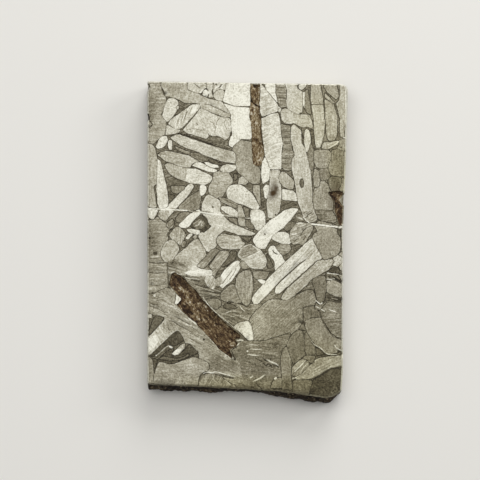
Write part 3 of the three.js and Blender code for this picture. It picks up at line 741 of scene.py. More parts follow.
LOWER_THIRD = (
    Grain("dark ground between the upper grains", DEEP, ((140, 70), (356, 70), (356, 262), (330, 276),
        (314, 292), (290, 303), (262, 308), (250, 307), (236, 300), (214, 282), (196, 270), (178, 269),
        (166, 262), (160, 245), (150, 222), (140, 216)), 20, 1.2),
    Grain("ground of the upper right", SHADE, ((296, 70), (352, 70), (352, 200), (336, 205), (318, 204),
        (312, 190), (309, 150), (303, 135)), brushed=0.9),
    Grain("ground of the centre", SHADE, ((214, 200), (226, 204), (240, 206), (247, 212), (252, 225),
        (253, 233), (240, 230), (228, 224), (220, 214)), 30, 1.3),
    Grain("brushed ground at the left", MID, ((146, 219.5), (153, 221), (158, 216.5), (161, 221),
        (166, 223.5), (169, 228), (168.5, 231.5), (166.5, 234), (168.5, 239), (164.5, 242.5), (160.5, 252),
        (161.5, 257.5), (165, 260.5), (167, 264), (167.5, 287), (153, 294), (146, 293)), 0, 0.8),
    Grain("ground above the inclusion", DULL, ((162, 261.5), (170.5, 261.5), (175, 257), (180, 256),
        (187, 261), (192, 267), (191, 270.5), (184, 276), (182, 276), (174, 271.5), (171, 273), (169, 285),
        (167, 266)), -15, 1.4, edged=False),
    Grain("ground left of the inclusion", MID, ((146, 293.5), (153, 294.5), (168, 287.5), (176, 294),
        (177, 299), (175, 303), (177, 306), (238, 366), (236, 380), (232, 384), (222, 385), (212, 382),
        (206, 375), (209.5, 367), (208, 362.5), (199, 358), (199, 353), (190.5, 343.5), (185, 343),
        (184, 338), (178, 329.5), (170, 331), (168, 328), (164, 326), (160, 326), (164, 321), (165, 317),
        (160, 315), (155, 315), (146, 312)), -28, 0.9),
    Grain("streaked ground right of the inclusion", SHADE, ((183, 275.5), (208, 276), (213, 277), (216, 284),
        (219, 287.5), (224, 289.5), (221, 294), (220, 299), (226, 302), (241, 305), (247, 307.5), (251, 304),
        (256, 304.5), (262, 303.5), (261, 307), (257, 310), (249, 320), (243, 321), (232, 325.5),
        (204, 302.5), (201, 297), (189, 284)), -18, 1.2),
    Grain("pale smear", LIGHT, ((184, 273), (197, 269), (211, 271), (215, 273), (209, 275.5), (190, 275.5)),
        4, 1.4, edged=False),
    Grain("light ground beyond the smear", LIGHT, ((207, 275.5), (213, 276.5), (216.5, 283), (213, 289),
        (208.5, 286.5), (205, 280)), 60, 1.3, edged=False),
    Grain("spur of the smear", BRIGHT, ((194, 266), (202, 270.5), (196, 271), (190, 270)), edged=False),
    Grain("dark smudge", DEEP, ((222, 306), (227, 303), (234, 305), (238, 308), (232, 309.5), (226, 309))),
    Grain("pale ground under the streaks", DULL, ((206, 300), (214, 298.5), (220, 300), (221, 305),
        (217, 309), (211, 306.5))),
    Grain("big calm grain", DULL, ((249.5, 320), (257, 310), (261, 307.5), (265, 303), (270, 300),
        (277, 299.5), (284, 301), (291, 299.5), (302, 292.5), (307, 290.5), (312.5, 290), (316, 300),
        (308, 318), (303, 322), (292, 337), (286, 342), (266, 344), (254, 343), (252.5, 329)), 40, 0.9),
    Grain("pale wedge by the inclusion", LIGHT, ((233.5, 326.5), (238, 323.5), (247.5, 321), (250, 323.5),
        (252, 328.5), (253.5, 340), (249, 341), (241, 332.5)), 60, 0.8),
    Grain("white foot of the wedge", WHITE, ((242.5, 331), (243.5, 326.5), (247.5, 322.5), (250, 326),
        (252.5, 339), (249, 340), (245, 336.5)), edged=False),
    Dot("pit by the wedge", DARK, (245.5, 339.5), 1.5),
    Grain("ground below the calm grain", SHADE, ((241, 341), (263.5, 341.5), (291, 333), (286, 345),
        (283, 348), (281, 356), (280.5, 364), (282.5, 384), (281, 388), (244, 392), (205, 392), (203, 386),
        (212, 383), (222, 386), (232, 385), (237, 380), (239, 366), (232, 350), (238, 347)), -10, 0.8),
    Grain("dark smudge by the marks", DEEP, ((265, 365), (270, 363.5), (276, 365.5), (274.5, 370.5),
        (268, 371.5)), 20, 1.4, edged=False),
    Grain("second smudge", DEEP, ((271, 343), (277, 341.5), (280, 345), (275, 348.5)), 20, 1.2, edged=False),
    Dot("pale fleck", WHITE, (247.5, 351.2), 0.9),
    Dot("dark pit", DARK, (264.5, 363.3), 1.1),
    Dot("dark pit, second", DARK, (263, 367.6), 0.9),
    Grain("right of the marks", DULL, ((273.5, 381), (277, 378.5), (281, 377.5), (282.5, 383),
        (281.5, 387.5), (270, 388))),
    Grain("upright ground", DULL, ((283.5, 348.5), (286.5, 347), (289.5, 353), (291.5, 361), (290.5, 375),
        (292, 390), (281.5, 389), (283, 384), (281, 364), (281.5, 356)), brushed=0.5),
    Grain("angular grain", SHADE, ((291, 336.5), (297.5, 330), (302, 331.5), (303.5, 337), (304, 351),
        (305, 355), (293.5, 364), (287, 345))),
    Grain("tongue", SHADE, ((305, 334), (307, 331.5), (315, 348), (315.5, 354), (307, 354.5), (305, 350))),
    Grain("ground above the angular grains", SHADE, ((298.5, 328.5), (304.5, 323), (305.5, 325), (309, 327),
        (314, 328), (320, 327), (323, 328), (315, 330.5), (309.5, 333.5), (306.5, 330.5))),
    Grain("dull square", SHADE, ((303.5, 307.5), (314, 306), (322, 312), (325, 322), (318, 327), (305, 326),
        (303.5, 320))),
    Grain("upper right ground", SHADE, ((313, 279.5), (318, 276.5), (324, 275.5), (325.5, 280), (326, 287),
        (324, 300), (321, 303.5), (318, 302), (314.5, 287), (312.5, 283)), 80),
    Grain("ground beside it", MID, ((327, 281), (334, 280.5), (352, 290), (352, 298), (337, 296.5),
        (327, 292)), -25),
    Grain("edge ground", PALE, ((341, 252), (352, 252), (352, 276), (343.5, 273), (336.5, 262.5)), 60, 0.8),
    Grain("edge ground, upper", LIGHT, ((333, 258.5), (339, 255.5), (342, 258.5), (341, 263.5), (336, 267.5),
        (332.5, 264)), 60, 0.8),
    Grain("dark wedge at the edge", DARK, ((335.5, 265.5), (343.5, 273), (336, 273.5), (326.5, 272))),
    Grain("lens at the edge", SHADE, ((326.5, 273.5), (336, 274.5), (341, 279.5), (326.5, 278.5))),
    Grain("shadow in the lens", DARK, ((327.5, 276.5), (331, 275.5), (335, 277), (331.5, 278.5))),
    Grain("grain beyond the lens", MID, ((338, 275), (352, 276), (352, 286), (343.5, 282))),
    Grain("brushed right ground", SHADE, ((326, 301), (352, 305), (352, 343.5), (337, 338.5), (329.5, 332),
        (322.5, 321), (320.5, 312.5), (316.5, 308)), 4, 1),
    Grain("ground under the black sliver", DULL, ((316, 303), (320, 306), (327, 300.5), (319.5, 310),
        (315, 308))),
    Grain("low right ground", DULL, ((304.5, 321.5), (312, 318.5), (320, 317.5), (329.5, 332.5), (337, 339),
        (352, 344), (352, 353), (338, 351.5), (328.5, 355), (316, 345.5), (307.5, 332))),
    Grain("dark angle", DEEP, ((316, 346.5), (319, 348.5), (325, 355), (316.5, 356))),
    Grain("white leaf", MID, ((291, 376), (292.5, 367.5), (300, 360.5), (304, 359), (306.5, 360.5)), 48,
        0.6),
    Grain("shaded leaf", DULL, ((292, 376), (306, 362), (308.5, 361.5), (309, 364.5), (300.5, 374.5),
        (296, 376.5))),
    Grain("ground over the long leaf", SHADE, ((306, 355.5), (315.5, 356.5), (312.5, 363), (310, 362.5),
        (307.5, 359.5), (302.5, 358.5))),
    Grain("long leaf", MID, ((313.5, 363.5), (316, 359.5), (320, 358), (336, 356), (352, 355.5), (352, 364),
        (330, 367.5), (312, 378.5), (299, 379.5), (293.5, 378.5), (302, 374.5), (309.5, 366)), 25, 0.8),
    Grain("olive ground", SHADE, ((293, 380.5), (312, 380.5), (308.5, 396), (292.5, 392))),
    Grain("dark corner grain", DARK, ((313.5, 379.5), (332, 368.5), (352, 366), (352, 404), (321, 404),
        (309, 400), (310.5, 387.5)), 20, 0.4),
    Grain("soft ground below the tip", MID, ((233, 357), (239, 361), (242, 382), (232, 385)), -28, 0.9,
        edged=False),
    Dot("bright spot at the left edge", LIGHT, (149.8, 316), 2.3),
    Grain("left dark wedge", DEEP, ((153.5, 318), (156, 315.5), (164.5, 317), (160.5, 324.5), (149.5, 335),
        (147, 335))),
    Grain("left bright grain", LIGHT, ((146, 341), (167, 318.5), (172, 320), (176, 325), (177.5, 330),
        (173, 332.5), (150, 354.5), (146, 352)), -60, 1, edged=False),
    Grain("white end of the left bright grain", WHITE, ((146, 342.5), (152.5, 336.5), (157, 335),
        (159, 339.5), (153.5, 347.5), (147.5, 353)), -60, 1, edged=False),
    Grain("grey end of it", PALE, ((163.5, 323), (167, 319.5), (172, 321), (175.5, 326), (175, 330),
        (169, 333), (164, 331)), -60, 1, edged=False),
    Grain("bow tie, upper", DARK, ((173.5, 332.5), (177.5, 330), (183.5, 338), (183, 341.5), (174, 346.5),
        (171, 345), (167.5, 346), (153, 357.5), (149.5, 355.5))),
    Grain("bow tie, lower", DARK, ((156, 360.5), (170.5, 348.5), (174, 349), (171, 355.5), (176, 356),
        (183, 351.5), (188, 345), (190.5, 344.5), (198.5, 352.5), (196, 354.5), (192, 355.5), (184, 360),
        (174, 363.5), (168, 364))),
    Grain("bow tie, streak", DEEP, ((158, 359), (163, 356), (177, 358.5), (184, 356.5), (189, 353),
        (190, 356), (184, 359), (176, 361), (168, 361))),
    Dot("white speck", WHITE, (156.3, 355.4), 0.7),
    Grain("white lens in the bow tie", PALE, ((171.5, 354.5), (182, 344.5), (185, 343.5), (184.5, 347),
        (179, 354), (175, 355))),
    Grain("white part of the lens", WHITE, ((172.5, 354), (177.5, 349.5), (180.5, 349.5), (178.5, 353),
        (175, 354.5)), edged=False),
    Grain("dark stem", DARK, ((152, 358.5), (156, 358.5), (158, 361.5), (154, 369.5))),
    Grain("corner strip", DULL, ((146, 356), (149, 357), (152, 360), (153.5, 373), (153.5, 390),
        (146, 390))),
    Grain("pale grain, lower left", MID, ((157.5, 365), (160, 362), (168.5, 365), (174, 364.5), (194, 357),
        (208, 363), (209.5, 367), (207, 370.5), (202, 372.5), (199.5, 375), (198, 379), (197.5, 390),
        (155, 390), (154, 377)), 0, 0.6),
    Grain("fan", DULL, ((199, 390), (199, 382), (203, 376.5), (208, 373.5), (219, 376), (229, 383),
        (234, 385), (240, 391), (215, 392)), 60, 0.9),
    Dot("white dot by the crust", WHITE, (213.3, 386.4), 1),
    Seam(DEEP, 0.9, (((148, 262), (156, 263.5), (166, 262.5)), ((148, 272), (155, 273.5), (165, 272.5)),
        ((243, 361), (250, 362.5), (257, 366)), ((262, 373), (266, 376.5), (266.5, 382)), ((334, 337.5),
        (345, 339)))),
    Seam(LIGHT, 0.7, (((148, 267), (157, 266.5), (166, 268)), ((149, 279), (157, 278), (166, 280.5)),
        ((148, 299), (156, 299.5), (163, 298)), ((246, 345.5), (252, 344.5), (258, 345.5)))),
    Seam(DEEP, 0.7, (((148, 284.5), (158, 285.5), (165, 284)), ((172, 321), (185, 329)), ((177, 317.5),
        (188, 323.5), (197, 331)), ((150, 306), (158, 308.5), (165, 313)))),
    Seam(LIGHT, 0.9, (((170, 305), (178, 309), (184, 314)), ((177, 321), (199, 328.5)), ((153, 300),
        (160, 302), (168, 306.5)), ((250, 349), (256, 349.5), (262, 349)), ((247, 354.5), (253, 355.5),
        (260, 355)), ((300.5, 372), (303.5, 367.5), (308, 363.5)), ((225.5, 380), (231, 385.5)))),
    Seam(PALE, 0.9, (((168, 313), (180, 317), (192, 322.5)), ((181, 330), (205, 341)), ((186, 341.5),
        (196, 345.5), (206, 352)), ((196, 286.5), (214, 291.5)), ((224, 314), (230, 311), (237, 312)),
        ((337, 336), (345, 338)), ((212.5, 375), (214, 380), (217.5, 383.5), (222, 385)), ((218.5, 382),
        (221.5, 376.5)))),
    Seam(SHADE, 0.9, (((190, 338.5), (202, 345)), ((148, 302.5), (155, 304.5), (161, 304)), ((282, 390.5),
        (318, 397.5), (330, 399)), ((331, 391), (335, 397.5)))),
    Seam(LIGHT, 1.4, (((206, 334), (220, 349.5), (224.5, 353.5)),)),
    Seam(WHITE, 2, (((185, 273.5), (190, 272), (197, 271.5), (206, 272.5)),)),
    Seam(DARK, 1.1, (((185.5, 276), (193, 280), (200, 282)), ((225, 318), (229, 319.5), (232, 322)),
        ((255, 358), (263, 362)), ((256, 383), (259, 386.5), (263, 389.5)), ((312, 343.5), (315, 346.5),
        (319.5, 348.5), (322, 352), (325.5, 355)))),
    Seam(DARK, 1.4, (((195, 284), (203, 287), (210, 288)), ((201, 290.5), (221, 294)), ((225, 304.5),
        (232, 301), (239, 302.5)), ((270.5, 358), (270.5, 360.5)), ((303, 308.5), (303, 311.5)),
        ((303.5, 315), (304, 318)), ((326, 272.5), (326, 279.5)), ((221, 376), (234, 378.5)))),
    Seam(MID, 0.9, (((199, 292), (217, 296.5)), ((262, 352), (270, 353.5), (278, 352.5)), ((240, 370),
        (249, 371), (256, 369)))),
    Seam(DARK, 0.9, (((204, 296), (212, 297.5), (220, 297)),)),
    Seam(PALE, 0.7, (((230, 317), (238, 315), (246, 316.5)), ((248, 309.5), (252, 308.5), (256, 309)))),
    Seam(BRIGHT, 0.9, (((240, 306), (242, 309), (245, 311.5)), ((326.5, 273), (339, 274.5)), ((326, 279),
        (331, 279.5), (335, 278.5)), ((315.5, 306), (325, 311.5)), ((329, 309.5), (336, 312)), ((311.5, 341),
        (314, 344.5), (322, 349), (325, 353), (330, 354.5), (337, 354.5)), ((334.5, 345), (337, 348.5),
        (345, 352)))),
    Seam(BLACK, 1.1, (((262, 357.5), (266, 361), (270, 360.5), (279, 368)), ((334, 300.5), (346, 303)))),
    Seam(BLACK, 1.4, (((263, 363), (266, 366), (269, 363.5), (272.5, 367.5)), ((334, 277.5), (345, 284.5)))),
    Seam(BRIGHT, 0.7, (((248, 354), (257, 355.5)),)),
    Seam(WHITE, 0.9, (((269.5, 361.5), (278.5, 365.5)), ((294.5, 372), (305.5, 361)))),
    Seam(BRIGHT, 1.1, (((266, 359.5), (277, 364)), ((292.5, 378.5), (297, 377.5)))),
    Seam(DARK, 1.7, (((273, 365.5), (276, 366)), ((301, 324), (303.5, 322), (305, 324.5)))),
    Seam(BRIGHT, 1.4, (((250, 378), (253, 376)), ((253, 381.5), (260.5, 378), (264.5, 375)))),
    Seam(WHITE, 1.7, (((274, 379), (277, 377.5)), ((169, 346), (172.5, 348)))),
    Seam(BLACK, 2.4, (((327.5, 297.5), (346, 300.5)),)),
    Seam(DULL, 0.9, (((331, 298), (338, 299.5)),)),
    Seam(WHITE, 1.1, (((315.5, 300), (320.5, 304.5), (322.5, 302.5)), ((203, 373.5), (208, 372), (212, 373),
        (215, 371.5), (235, 377)))),
    Seam(DEEP, 1.1, (((318, 310), (323, 322), (326.5, 328), (334, 338)),)),
    Seam(DARK, 2, (((337, 351), (341, 352)),)),
    Seam(PALE, 1.4, (((328, 366.5), (337, 365.5)), ((300, 377), (306, 377.5), (312, 376), (320, 372)))),
    Seam(BLACK, 1.7, (((336, 384), (340, 391)),)),
    Seam(PALE, 1.1, (((157, 355), (165.5, 347.5), (169, 345.5)),)),
    Seam(DEEP, 1.7, (((199.5, 381.5), (200.5, 378), (204, 375)),)),
)

MARKS = (
    Dot("pit at the left edge", DARK, (149.5, 238), 1.3),
    Dot("pit below it", BLACK, (148, 232.8), 1.2),
    Dot("pit in the left ground", DARK, (152.5, 293), 1.2),
    Dot("fleck in the left ground", WHITE, (154.7, 295.5), 1.3),
    Dot("nick, upper", BLACK, (148.3, 85.3), 1.7),
    Dot("nick, lower", BLACK, (148.2, 119.5), 1.4),
    Dot("dark fleck in the cracked corner", DARK, (216.3, 84.2), 1),
    Grain("white triangle by the inclusion", WHITE, ((176, 294), (181.5, 299.5), (176.5, 304.5), (175, 303),
        (176.5, 299.5))),
    Dot("pit below the inclusion", DARK, (235, 359.5), 1.2),
    Grain("chipped end of the inclusion", BRIGHT, ((224.5, 357), (226, 354.5), (228.5, 354), (233.5, 358.5),
        (225.5, 359)), edged=False),
    Dot("pit in the chipped end", DULL, (227.3, 356.7), 0.8),
    Dot("spot in the left ground", DARK, (204, 339.5), 1.3),
    # The long scratch across the face: a real scratch, drawn white where it catches the light, so partly a
    # painted highlight.
    Seam(WHITE, 1.4, (((146, 208.5), (188, 210.5)), ((250.5, 218.5), (265, 219.5)))),
    Seam(PALE, 1.1, (((188, 210.5), (199.5, 212)),)),
    Seam(WHITE, 2, (((199.5, 212), (224.5, 215.5)),)),
    # The second line here is a painted highlight along the slanting inclusion's upper rim.
    Seam(LIGHT, 1.1, (((225, 215.5), (250, 218.5)), ((203, 297), (209, 306), (220.5, 316.5), (237, 330)))),
    Seam(WHITE, 0.9, (((269.5, 220.5), (284, 221.5)),)),
    Seam(WHITE, 1.7, (((311, 224), (338, 227)), ((215, 89), (220, 85)))),
    Seam(WHITE, 2.4, (((338.5, 227.5), (341, 227), (346, 227.5)),)),
    Seam(BRIGHT, 1.1, (((303, 217), (308, 222), (311, 223.5)), ((150.5, 257), (159.5, 256.5)))),
    Seam(DARK, 3.4, (((153, 253.5), (157.5, 253)),)),
    Seam(DEEP, 1.1, (((167, 262), (168.5, 287)),)),
    Seam(DARK, 1.1, (((147, 118.5), (150, 121), (152.5, 124.5), (150.5, 127), (147, 127.5)),)),
    Seam(DEEP, 0.9, (((193, 82.5), (200.5, 88.5)), ((218, 88.5), (222.5, 84)), ((168, 327.5),
        (169.5, 330.5)))),
    # The second line is a painted highlight along the right edge's bevel; the first is a white line in the
    # cracked corner.
    Seam(WHITE, 1.1, (((220.5, 88), (224, 83.5)), ((345.5, 88.5), (346, 120), (345.5, 143)))),
    Seam(MID, 0.9, (((295, 106), (301.5, 111)),)),
    Seam(DULL, 1.1, (((181.5, 230), (180.5, 242)),)),
    Seam(BRIGHT, 1.4, (((188, 318), (195, 323), (197, 325)), ((231.5, 348), (234.5, 345.5), (238, 345),
        (239.5, 342.5)), ((237, 340.5), (240.5, 340), (243.5, 340.5)))),
    Seam(MID, 1.1, (((170, 287.5), (176.5, 293.5)),)),
    Seam(SHADE, 0.9, (((183, 328), (191, 332), (199, 337.5)),)),
    Seam(BRIGHT, 0.9, (((171, 272.5), (174, 271.5), (178, 275)),)),
    Seam(LIGHT, 0.9, (((184, 277.5), (200, 279.5)),)),
)

PATTERN: tuple[Mark, ...] = (
    *LOWER_THIRD, *UPPER_LEFT, *UPPER_MIDDLE, *UPPER_RIGHT, *UPPER_CENTRE_LEFT, *CENTRE, *MARKS,
)


def unevenness(along: float, up: float) -> float:
    """A smooth unevenness of the crust, between about -1 and 1."""
    turns = ((w.share, w.along * along + w.bend * math.sin(w.up * up + along)) for w in WAVES)
    return sum(share * math.sin(turn) for share, turn in turns)


def noise_at(place: Vector, noises: Noises) -> float:
    """The sum of these noises at a place."""
    return sum(share * noise.noise(place * rate) for share, rate in noises)


def tint_at(place: Vector, tints: tuple[Tint, ...]) -> float:
    """How strong these tints are together at a place on the face, at most 1."""
    return min(1.0, sum(tint.strength_at(place) for tint in tints))


def signed_area(ring: list[Vector]) -> float:
    """The area that a ring of places encloses, above 0 if it runs anticlockwise."""
    return sum(a.x * b.y - b.x * a.y for a, b in zip(ring, ring[1:] + ring[:1])) / 2


def anticlockwise(ring: list[Vector]) -> list[Vector]:
    """The ring, turned round if it runs clockwise."""
    return ring if signed_area(ring) > 0 else ring[::-1]


def ways_ahead(ring: list[Vector]) -> list[Vector]:
    """For each place of a ring, the way from the place before it to the place after it."""
    return [after - before for before, after in zip(ring[-1:] + ring[:-1], ring[1:] + ring[:1])]


def encloses(ring: list[Vector], place: Vector) -> bool:
    """Tells whether a ring goes round a place.

    Args:
        ring: its places in order.
        place: the place in question.

    Returns:
        True if the place is inside the ring.
    """
    inside = False
    for a, b in zip(ring, ring[1:] + ring[:1]):
        if (a.y > place.y) != (b.y > place.y):
            if place.x < a.x + (place.y - a.y) * (b.x - a.x) / (b.y - a.y):
                inside = not inside
    return inside


@dataclass(frozen=True)
class RimPoint:
    """A place on the slice's outline.

    Attributes:
        at: the place.
        outward: the direction out of the slice there.
        along: its distance along the outline.
        swell: how far the crust swells out below it.
    """

    at: Vector
    outward: Vector
    along: float
    swell: float

    def towards(self, other: "RimPoint", share: float) -> "RimPoint":
        """Finds a place on the way to the next rim point.

        Args:
            other: the next rim point.
            share: how much of the way to go.

        Returns:
            The rim point there.
        """
        outward = self.outward.lerp(other.outward, share).normalized()
        along = self.along + share * (other.at - self.at).length
        swell = self.swell + share * (other.swell - self.swell)
        return RimPoint(self.at.lerp(other.at, share), outward, along, swell)


@dataclass
class SliceOutline:
    """The slice's outline with its rounded corners, and its walls below it.

    The fields named from and by are depths below the face, as shares of the thickness.
    """

    step_on_cuts: float = 0.4
    step_on_crust: float = 0.13
    steps_round_a_corner: int = 8
    crust_facing: tuple[float, float] = (0.25, 0.8)
    swollen_by: float = 0.45
    tuck: float = 0.45
    tuck_from: float = 0.75
    lump: float = 0.12
    lumpy_by: float = 0.12
    grit: float = 0.06
    grit_noises: Noises = ((0.6, 3.1), (0.4, 7.3))
    grit_middle: float = 0.15
    grit_fade: float = 0.1
    chip_flat_share: float = 0.3
    chip_run_in: float = 0.5
    points: list[RimPoint] = field(init=False)

    def __post_init__(self) -> None:
        """Walks round the corners."""
        self.points = self._with_directions(self._places())

    def _places(self) -> list[tuple[Vector, float]]:
        """Walks round the corners.

        Returns:
            Each place with its swell.
        """
        places = []
        for i, corner in enumerate(CORNERS):
            before, after = CORNERS[i - 1], CORNERS[(i + 1) % len(CORNERS)]
            here, start = Vector((corner.x, corner.y)), self._towards(corner, before)
            end, next_start = self._towards(corner, after), self._towards(after, corner)
            for k in range(self.steps_round_a_corner):
                t = k / self.steps_round_a_corner
                bend = start.lerp(here, t).lerp(here.lerp(end, t), t)
                places.append((bend, corner.swell))
            step = self.step_on_crust if corner.swell > 0 else self.step_on_cuts
            count = math.ceil((next_start - end).length / step)
            for k in range(count):
                t = k / count
                swell = corner.swell + t * (after.swell - corner.swell)
                places.append((end.lerp(next_start, t), swell))
        return places

    @staticmethod
    def _towards(corner: Corner, other: Corner) -> Vector:
        """Where a corner's round ends on the side of the other corner."""
        here, there = Vector((corner.x, corner.y)), Vector((other.x, other.y))
        return here + (there - here).normalized() * corner.round

    @staticmethod
    def _with_directions(places: list[tuple[Vector, float]]) -> list[RimPoint]:
        """Adds each place's outward direction and distance along the outline.

        Args:
            places: each place with its swell.

        Returns:
            The rim points.
        """
        points, along = [], 0.0
        for i, (at, swell) in enumerate(places):
            before, after = places[i - 1][0], places[(i + 1) % len(places)][0]
            tangent = (after - before).normalized()
            if i:
                along += (at - before).length
            points.append(RimPoint(at, Vector((tangent.y, -tangent.x)), along, swell))
        return points

    def crust_share(self, point: RimPoint) -> float:
        """How far the wall at this point is crust, from 0 to 1."""
        return smoothstep(*self.crust_facing, -point.outward.y)

    def _crust_offset(self, point: RimPoint, height: float) -> float:
        """Finds how far the crust stands out of the outline towards -Y.

        Args:
            point: the rim point above.
            height: of the place on the wall.

        Returns:
            The distance.
        """
        depth = (THICKNESS - height) / THICKNESS
        tuck = self.tuck * smoothstep(self.tuck_from, 1, depth)
        swell = point.swell * smoothstep(0, self.swollen_by, depth) * (1 - tuck)
        shown = smoothstep(0, self.lumpy_by, depth)
        lumps = self.lump * shown * unevenness(point.along, height)
        grit = noise_at(Vector((point.along, height, 0.0)), self.grit_noises) + self.grit_middle
        grit = self.grit * shown * smoothstep(0, self.grit_fade, 1 - depth) * grit
        return self.crust_share(point) * (swell + lumps + grit)

    def chip_depth(self, point: RimPoint, height: float) -> float:
        """Finds how deep the chips go into the wall.

        Args:
            point: the rim point above.
            height: of the place on the wall.

        Returns:
            The depth.
        """
        depth = 0.0
        for chip in CHIPS:
            distance = (point.at - Vector((chip.x, chip.y))).length
            near = 1 - smoothstep(self.chip_flat_share * chip.reach, chip.reach, distance)
            depth += chip.depth * near * smoothstep(chip.start, chip.start + self.chip_run_in, height)
        return depth

    def wall_point(self, point: RimPoint, height: float) -> Vector:
        """Finds a place on the wall.

        Args:
            point: the rim point above.
            height: of the place.

        Returns:
            The place.
        """
        from_edge = min(height, THICKNESS - height, EDGE_BREAK)
        bevel = EDGE_BREAK - math.sqrt(from_edge * (2 * EDGE_BREAK - from_edge))
        at = point.at - point.outward * (bevel + self.chip_depth(point, height)) + CENTRING
        y = max(at.y - self._crust_offset(point, height), -HALF_LENGTH)
        return Vector((at.x, y, height))

    def ring(self, height: float) -> list[Vector]:
        """The outline at a height, as places in the plane."""
        return [self.wall_point(point, height).to_2d() for point in self.points]

    def nearest(self, place: Vector, height: float) -> RimPoint:
        """Finds the rim point, mostly between two others, whose wall has a place.

        Args:
            place: the place on the wall, seen from above.
            height: of the place.

        Returns:
            The rim point.
        """
        best, found = math.inf, self.points[0]
        ring = self.ring(height)
        for i, a in enumerate(ring):
            j = (i + 1) % len(ring)
            side = ring[j] - a
            share = min(1.0, max(0.0, (place - a).dot(side) / side.length_squared))
            distance = (a + side * share - place).length
            if distance < best:
                best, found = distance, self.points[i].towards(self.points[j], share)
        return found


@dataclass(frozen=True)
class Patch:
    """One area of a face: its outline and everything that its triangles carry.

    Attributes:
        outline: anticlockwise, on the face.
        tone: how light it is, from 0 to 1.
        lay: the direction of its fine lines, in radians.
        brushed: how strongly they show.
        level: its height over the face, 0 or less.
        grooved: whether a groove runs round it.
        floor: how uneven it is, above 0 for a hollow alone.
    """

    outline: list[Vector]
    tone: float
    lay: float = 0.0
    brushed: float = 0.35
    level: float = 0.0
    grooved: bool = False
    floor: float = 0.0


